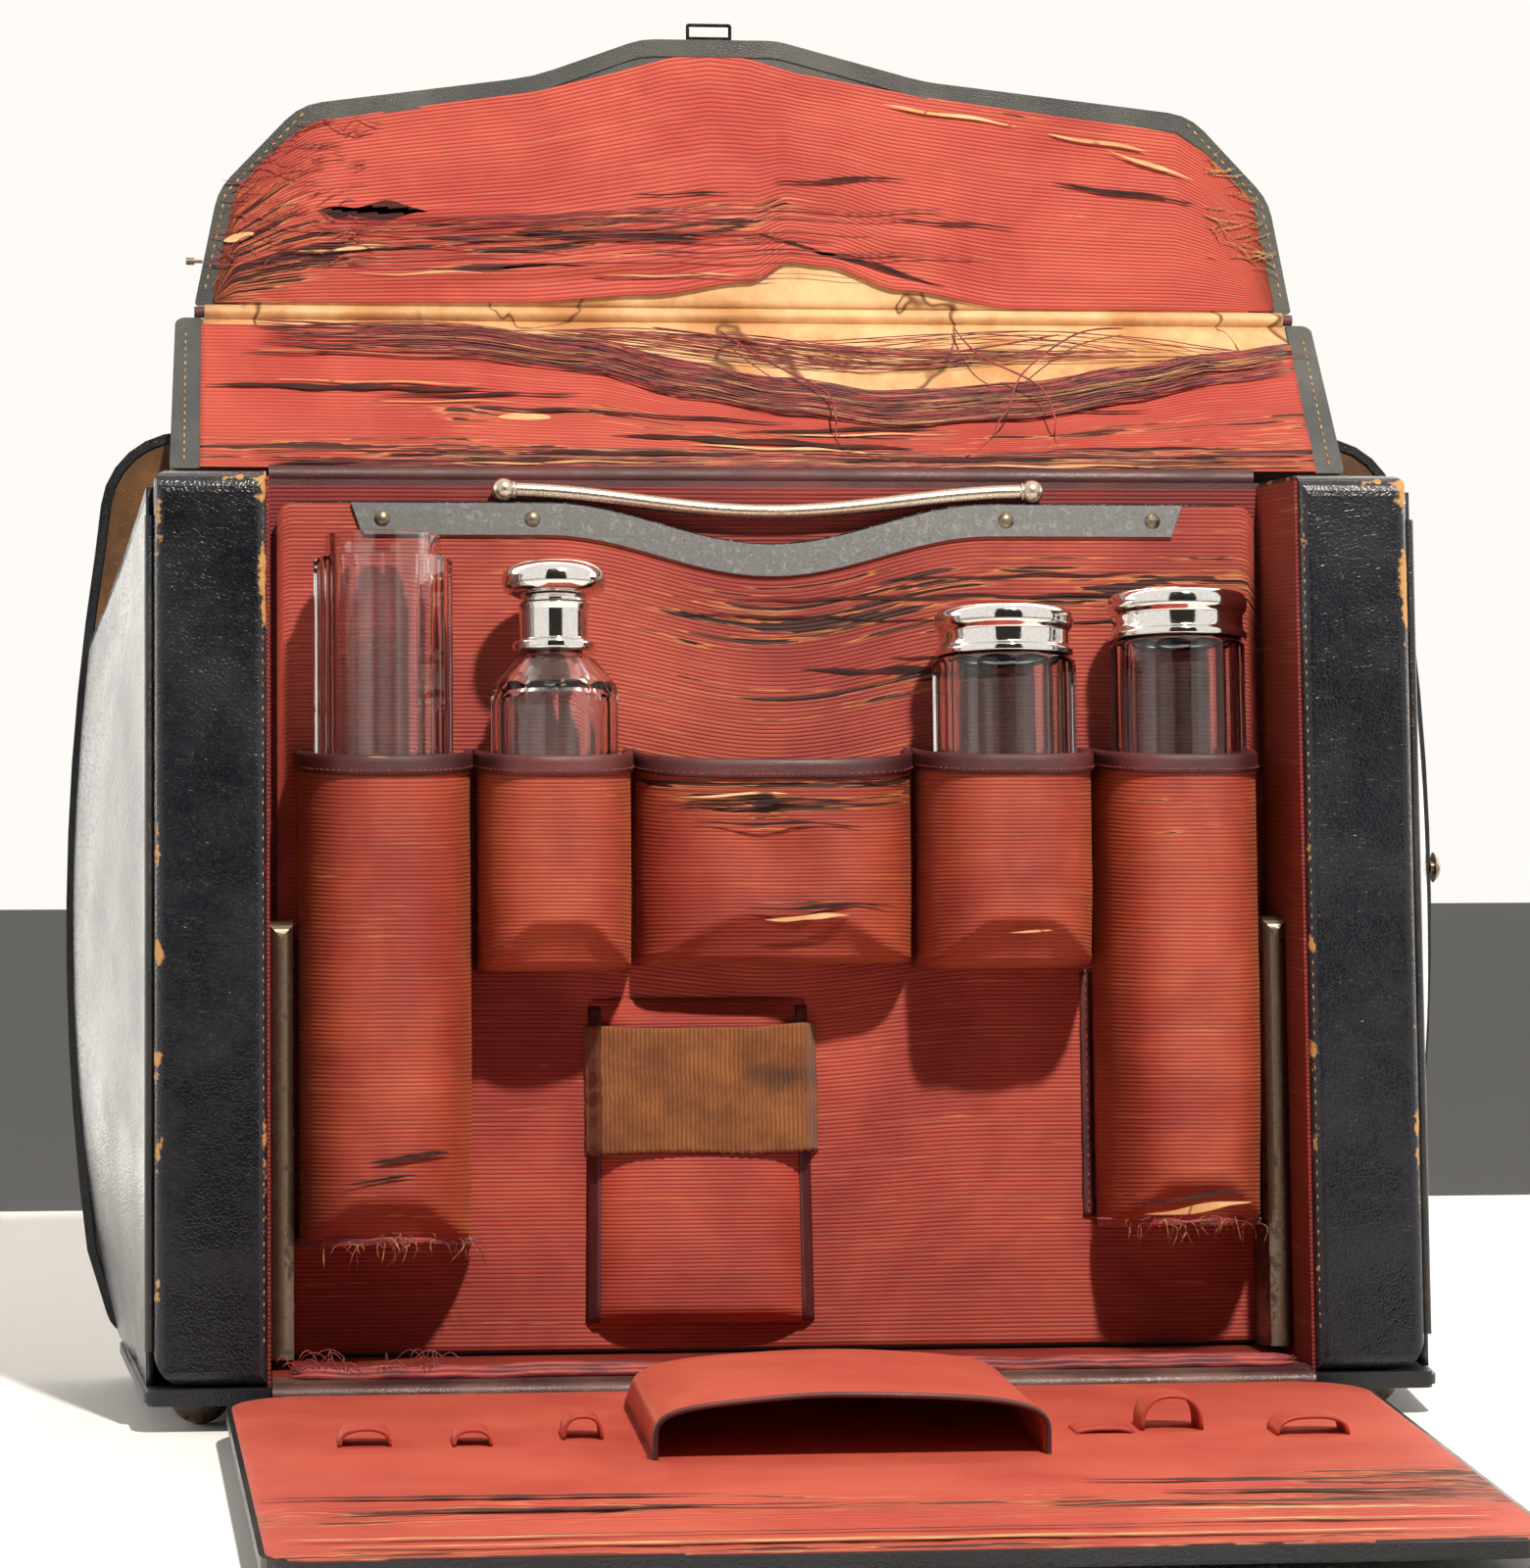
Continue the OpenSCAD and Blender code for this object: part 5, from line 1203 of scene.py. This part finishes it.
class CASE_OT_handle_bar(PieceOperator, bpy.types.Operator):
    """Turned nickel bar over the panel's hand dip"""
    bl_idname = "case.handle_bar"
    bl_label = "Panel handle bar"

    def execute(self, context):
        top = PANEL_TOP + 6.9 / 2

        def line(a):
            x = mix(-74.5, 74.5, a)
            return leaning(x, 51, top - 6 * (0.5 + 0.5 * math.cos(math.pi * min(1, abs(x) / 75.4))))

        bm = bmesh.new()
        strand(bm, line, 2.2, 20, 64, 0.0)
        cap_ends(bm, 24)
        for x in (-75.4, 75.4):
            bmesh.ops.create_uvsphere(bm, u_segments=28, v_segments=16, radius=3.45 * MM,
                                      matrix=Matrix.Translation(leaning(x, 51, top)))
            collar = Matrix.Translation(leaning(x * 0.963, 51, top - 0.1)) @ Matrix.Diagonal((0.45, 1, 1, 1))
            bmesh.ops.create_uvsphere(bm, u_segments=20, v_segments=10, radius=2.75 * MM, matrix=collar)
        bmesh.ops.remove_doubles(bm, verts=bm.verts[:], dist=1e-6)
        obj = piece("handle_bar", bm, FINISH["nickel"], "panel")
        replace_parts(obj, "panel_handle")
        return {"FINISHED"}


class CASE_OT_turned_covers(PieceOperator, bpy.types.Operator):
    """Bottle cap and jar lids, spun from smooth profiles"""
    bl_idname = "case.turned_covers"
    bl_label = "Turned covers"

    LID = [
        (0, 9.6), (14, 9.4), (17.3, 8.6), (17.5, 7), (17.5, 0.3), (18.0, 0), (19.2, 0.1), (19.4, 0.8),
        (19.3, 1.8), (18.6, 2.5), (18.35, 3.4), (18.3, 5), (18.35, 6.7), (18.7, 7.4), (19.3, 8.2),
        (19.55, 9.3), (19.6, 10.6), (19.2, 11.9), (18.1, 12.9), (15.8, 13.5), (11, 14.1), (5, 14.5),
        (0, 14.6)]
    CAP = [
        (0, -10), (4.4, -9.9), (4.9, -9.2), (5.0, -1), (5.6, 0), (9.0, 0.05), (9.2, 0.5), (9.3, 1.1),
        (10.6, 1.7), (12.9, 2.6), (14.1, 4), (14.5, 5.7), (14.3, 7.5), (13.4, 9.2), (11.6, 10.5),
        (9.6, 11.2), (6, 11.7), (0, 12)]

    def execute(self, context):
        self.turn("bottle_cap", "cap", self.CAP, 10.0)
        self.turn("jar_lid", "jar_cover", self.LID, 0.0)
        self.turn("tall_jar_lid", "tall_jar_cover", self.LID, 0.0)
        return {"FINISHED"}

    def turn(self, node, body, profile, sunk):
        obj = NODES[node]
        corners = [obj.matrix_world @ v.co for v in obj.data.vertices]
        middle = (min(c.x for c in corners) + max(c.x for c in corners)) / 2 / MM
        lows = [(c.y / MM - FRONT_Y) * math.sin(LEAN) + c.z / MM * math.cos(LEAN) for c in corners]
        base = min(lows) + sunk
        points = [rounded(profile, k, quarter / 4) for k in range(len(profile) - 1) for quarter in range(4)]
        points.append(Vector(profile[-1]))
        bm = bmesh.new()
        line = [bm.verts.new((max(0.0, q.x) * MM, 0, q.y * MM)) for q in points]
        edges = [bm.edges.new(pair) for pair in zip(line, line[1:])]
        bmesh.ops.spin(bm, geom=line + edges, cent=(0, 0, 0), axis=(0, 0, 1), angle=2 * math.pi, steps=64,
                       use_merge=True)
        place = Matrix.Translation(leaning(middle, 28, base)) @ Matrix.Rotation(-LEAN, 4, "X")
        bmesh.ops.transform(bm, matrix=place, verts=bm.verts[:])
        close_up(bm)
        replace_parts(piece(node + "_turned", bm, FINISH["silver"], body), node)


class CASE_OT_slits(PieceOperator, bpy.types.Operator):
    """Gaping holes and slits in the silk of the lid, the flap and the panel, drawn as dark lens patches of painted
    shadow, with pale ones of board or thread colour
    """
    bl_idname = "case.slits"
    bl_label = "Slits"

    # Each slit: centre x, distance, length, width and slope
    FLAP = [
        (-111, 30, 32, 6.5, 0.0), (-42, 23.5, 56, 3.6, -0.02), (27, 40.5, 40, 1.5, 0.04),
        (30, 17, 58, 1.8, -0.26), (-70, 14, 46, 1.6, 0.05), (112, 37.5, 44, 2.0, -0.12),
        (-20, 36, 30, 0.9, 0.03), (60, 28, 40, 0.9, -0.05)]
    LID = [
        (-118, 36, 84, 3.0, -0.02), (-80, 33, 60, 1.6, 0.03), (-60, 27, 50, 1.2, -0.04),
        (-96, 5.5, 90, 3.2, 0.02), (0, 14, 88, 3.4, -0.06), (22, 19, 60, 1.8, 0.05),
        (-36, 9, 70, 2.4, 0.0), (60, 7.0, 80, 2.2, 0.03), (86, 27, 60, 1.4, 0.04),
        (-20, 24, 60, 1.4, -0.07), (112, 12, 56, 1.2, 0.02), (-130, 50, 40, 0.9, 0.0)]
    POCKET = [
        (-117, 173.5, 22, 1.8, 0.0), (6, 131, 24, 2.0, 0.03), (112, 50, 30, 2.4, 0.10),
        (-14, 165, 30, 1.0, 0.02), (66, 126, 12, 1.0, 0.0)]
    POCKET_DARK = [
        (-6, 163, 56, 1.6, 0.03), (-2, 157, 48, 1.2, -0.02), (10, 134, 44, 1.4, 0.04),
        (-104, 66, 22, 2.2, 0.1), (-112, 60, 20, 1.2, 0.1), (-110, 172, 32, 1.0, 0.0),
        (-62, 172, 26, 0.8, 0.0), (110, 53, 34, 1.4, 0.12), (8, 169, 60, 0.9, 0.0)]
    FLAP_PALE = [
        (-118, 19, 30, 1.6, 0.05), (-96, 12, 40, 1.0, 0.02), (120, 46, 26, 1.4, -0.35),
        (104, 52.5, 30, 1.6, -0.16), (60, 60, 40, 1.4, -0.14), (-150, 22, 9, 3.0, 0.2),
        (-20, 12, 50, 0.9, 0.02)]
    LID_PALE = [
        (-60, 5, 60, 1.2, 0.02), (8, 11, 60, 1.4, -0.05), (90, 4.4, 80, 1.3, 0.01),
        (-110, 38, 60, 0.9, -0.02), (30, 17, 50, 0.9, 0.03), (-90, 30, 40, 0.8, 0.02)]
    DROP = [
        (-90, 172, 110, 5.0, 0.03), (-70, 190, 120, 4.0, -0.02), (92, 166, 86, 6.0, 0.08),
        (100, 182, 70, 4.0, 0.05), (84, 196, 90, 3.0, 0.02), (0, 224, 220, 1.6, 0.0)]
    DROP_PALE = [
        (0, 236, 262, 4.5, 0.0), (94, 206, 80, 5.0, 0.06), (96, 220, 76, 4.0, 0.04),
        (-100, 226, 80, 2.6, 0.0)]
    PANEL = [
        (33, 203, 50, 2.6, 0.0), (48, 207, 30, 1.1, 0.02), (50, 224, 130, 1.5, 0.02),
        (70, 230, 80, 1.1, 0.03), (10, 218, 80, 1.0, -0.02), (94, 217, 50, 0.9, 0.0)]

    def execute(self, context):
        # painted shadow: the dark patches stand for the shade inside the slits and holes, and are laid just over the
        # silk
        made, t, shader, place = finish("slit_shadow", 0.9)
        tone = cloud(t, stretched(t, place, (60, 900, 900)), 1.0, 3.0)
        t.links.new(blend(t, between(t, tone, 0.35, 0.75), paint(22, 7, 9), paint(92, 34, 26)),
                    shader.inputs["Base Color"])
        self.patches("flap_slit_shadows", "flap", self.FLAP, lambda x, s: on_flap(x, s, -0.75), made)
        self.patches("lid_slit_shadows", "lid", self.LID, lambda x, t: on_lid(x, t, -0.85), made)
        self.patches("panel_slit_shadows", "panel", self.PANEL, lambda x, w: leaning(x, 49.45, w), made)
        self.patches("pocket_tears", "panel", self.POCKET, self.on_pocket, FINISH["board"])
        self.patches("pocket_slit_shadows", "panel", self.POCKET_DARK, self.on_pocket, made)
        self.patches("flap_tears", "flap", self.FLAP_PALE, lambda x, s: on_flap(x, s, -0.8), FINISH["board"])
        self.patches("lid_tears", "lid", self.LID_PALE, lambda x, t: on_lid(x, t, -0.95), FINISH["board"])
        self.patches("drop_slit_shadows", "drop_front", self.DROP, lambda x, d: on_drop(x, d, 1.1), made)
        self.patches("drop_tears", "drop_front", self.DROP_PALE, lambda x, d: on_drop(x, d, 1.15),
                     FINISH["tan_thread"])
        return {"FINISHED"}

    @staticmethod
    def on_pocket(x, w):
        for left, right, foot, depth, power in POCKETS.values():
            if left < x < right:
                off = abs(2 * x - left - right) / (right - left)
                d = depth * (1 - off ** power) ** (1 / power)
                return leaning(x, PANEL_V - d - 0.75, w)
        return leaning(x, PANEL_V - 0.6, w)

    def patches(self, name, body, slits, place, made):
        bm = bmesh.new()
        for seed, (x, at, length, width, slope) in enumerate(slits):
            def lens(a, b):
                along = (a - 0.5) * length
                open_at = math.sin(math.pi * a) ** 0.7 * (0.7 + 0.5 * rough(along, seed * 7, 9))
                centre = at + slope * along + 0.8 * rough(along, seed, 16)
                return place(x + along, centre + (b - 0.5) * width * max(0.02, open_at))
            weave_grid(bm, 40, 3, lens, lambda a, b: (0.05 * a, 0.003 * b))
        piece(name, bm, made, body)


class CASE_OT_sewing(PieceOperator, bpy.types.Operator):
    """Stitching along the pillars and the leather edges"""
    bl_idname = "case.sewing"
    bl_label = "Stitching"

    def execute(self, context):
        case, lid, flap = bmesh.new(), bmesh.new(), bmesh.new()
        for side in (-1, 1):
            line = [leaning(side * 143.4, 0.9, w) for w in (16, 80, 160, 236)]
            stitches(case, line, 3.2, 2.0, 0.3, FRONTWARDS)
            line = [on_lid(side * 165.4, t, 0.2) for t in (6, 60)]
            stitches(lid, line, 3.0, 1.9, 0.3, Vector((0, -math.sin(LID_TILT), math.cos(LID_TILT))))
            line = [on_flap(side * 160.0, 6, 0.2), on_flap(side * 153.8, 35, 0.2), on_flap(side * 131, 58.6, 0.2)]
            stitches(flap, line, 3.0, 1.9, 0.3, FRONTWARDS)
        piece("pillar_stitching", case, FINISH["tan_thread"], "case")
        piece("lid_stitching", lid, FINISH["tan_thread"], "lid")
        piece("flap_stitching", flap, FINISH["tan_thread"], "flap")
        return {"FINISHED"}


class CASE_PT_panel(bpy.types.Panel):
    """Lists the sizes, the colours and the pieces of the case"""
    bl_idname = "CASE_PT_panel"
    bl_label = "Dressing Case"
    bl_space_type = "VIEW_3D"
    bl_region_type = "UI"
    bl_category = "Dressing Case"

    def draw(self, context):
        for group in (context.scene.case_sizes, context.scene.case_look):
            for name in group.bl_rna.properties.keys():
                if name not in {"rna_type", "name"}:
                    self.layout.prop(group, name)
        for operator in OPERATORS:
            self.layout.operator(operator.bl_idname)


OPERATORS = (CASE_OT_finishes, CASE_OT_stage, CASE_OT_gussets, CASE_OT_panel_silk, CASE_OT_pockets,
             CASE_OT_pouch, CASE_OT_lid_silk, CASE_OT_slits, CASE_OT_drop_front, CASE_OT_handle_bar,
             CASE_OT_turned_covers, CASE_OT_sewing)
CLASSES = (CaseLook, CaseSizes, *OPERATORS, CASE_PT_panel)


def register():
    for cls in CLASSES:
        bpy.utils.register_class(cls)
    bpy.types.Scene.case_look = bpy.props.PointerProperty(type=CaseLook)
    bpy.types.Scene.case_sizes = bpy.props.PointerProperty(type=CaseSizes)


def unregister():
    del bpy.types.Scene.case_sizes
    del bpy.types.Scene.case_look
    for cls in reversed(CLASSES):
        bpy.utils.unregister_class(cls)


def main():
    register()
    scene = bpy.context.scene
    scene.view_settings.view_transform = "Standard"
    for operator in OPERATORS:
        getattr(bpy.ops.case, operator.bl_idname.split(".")[1])()


if __name__ == "__main__":
    main()
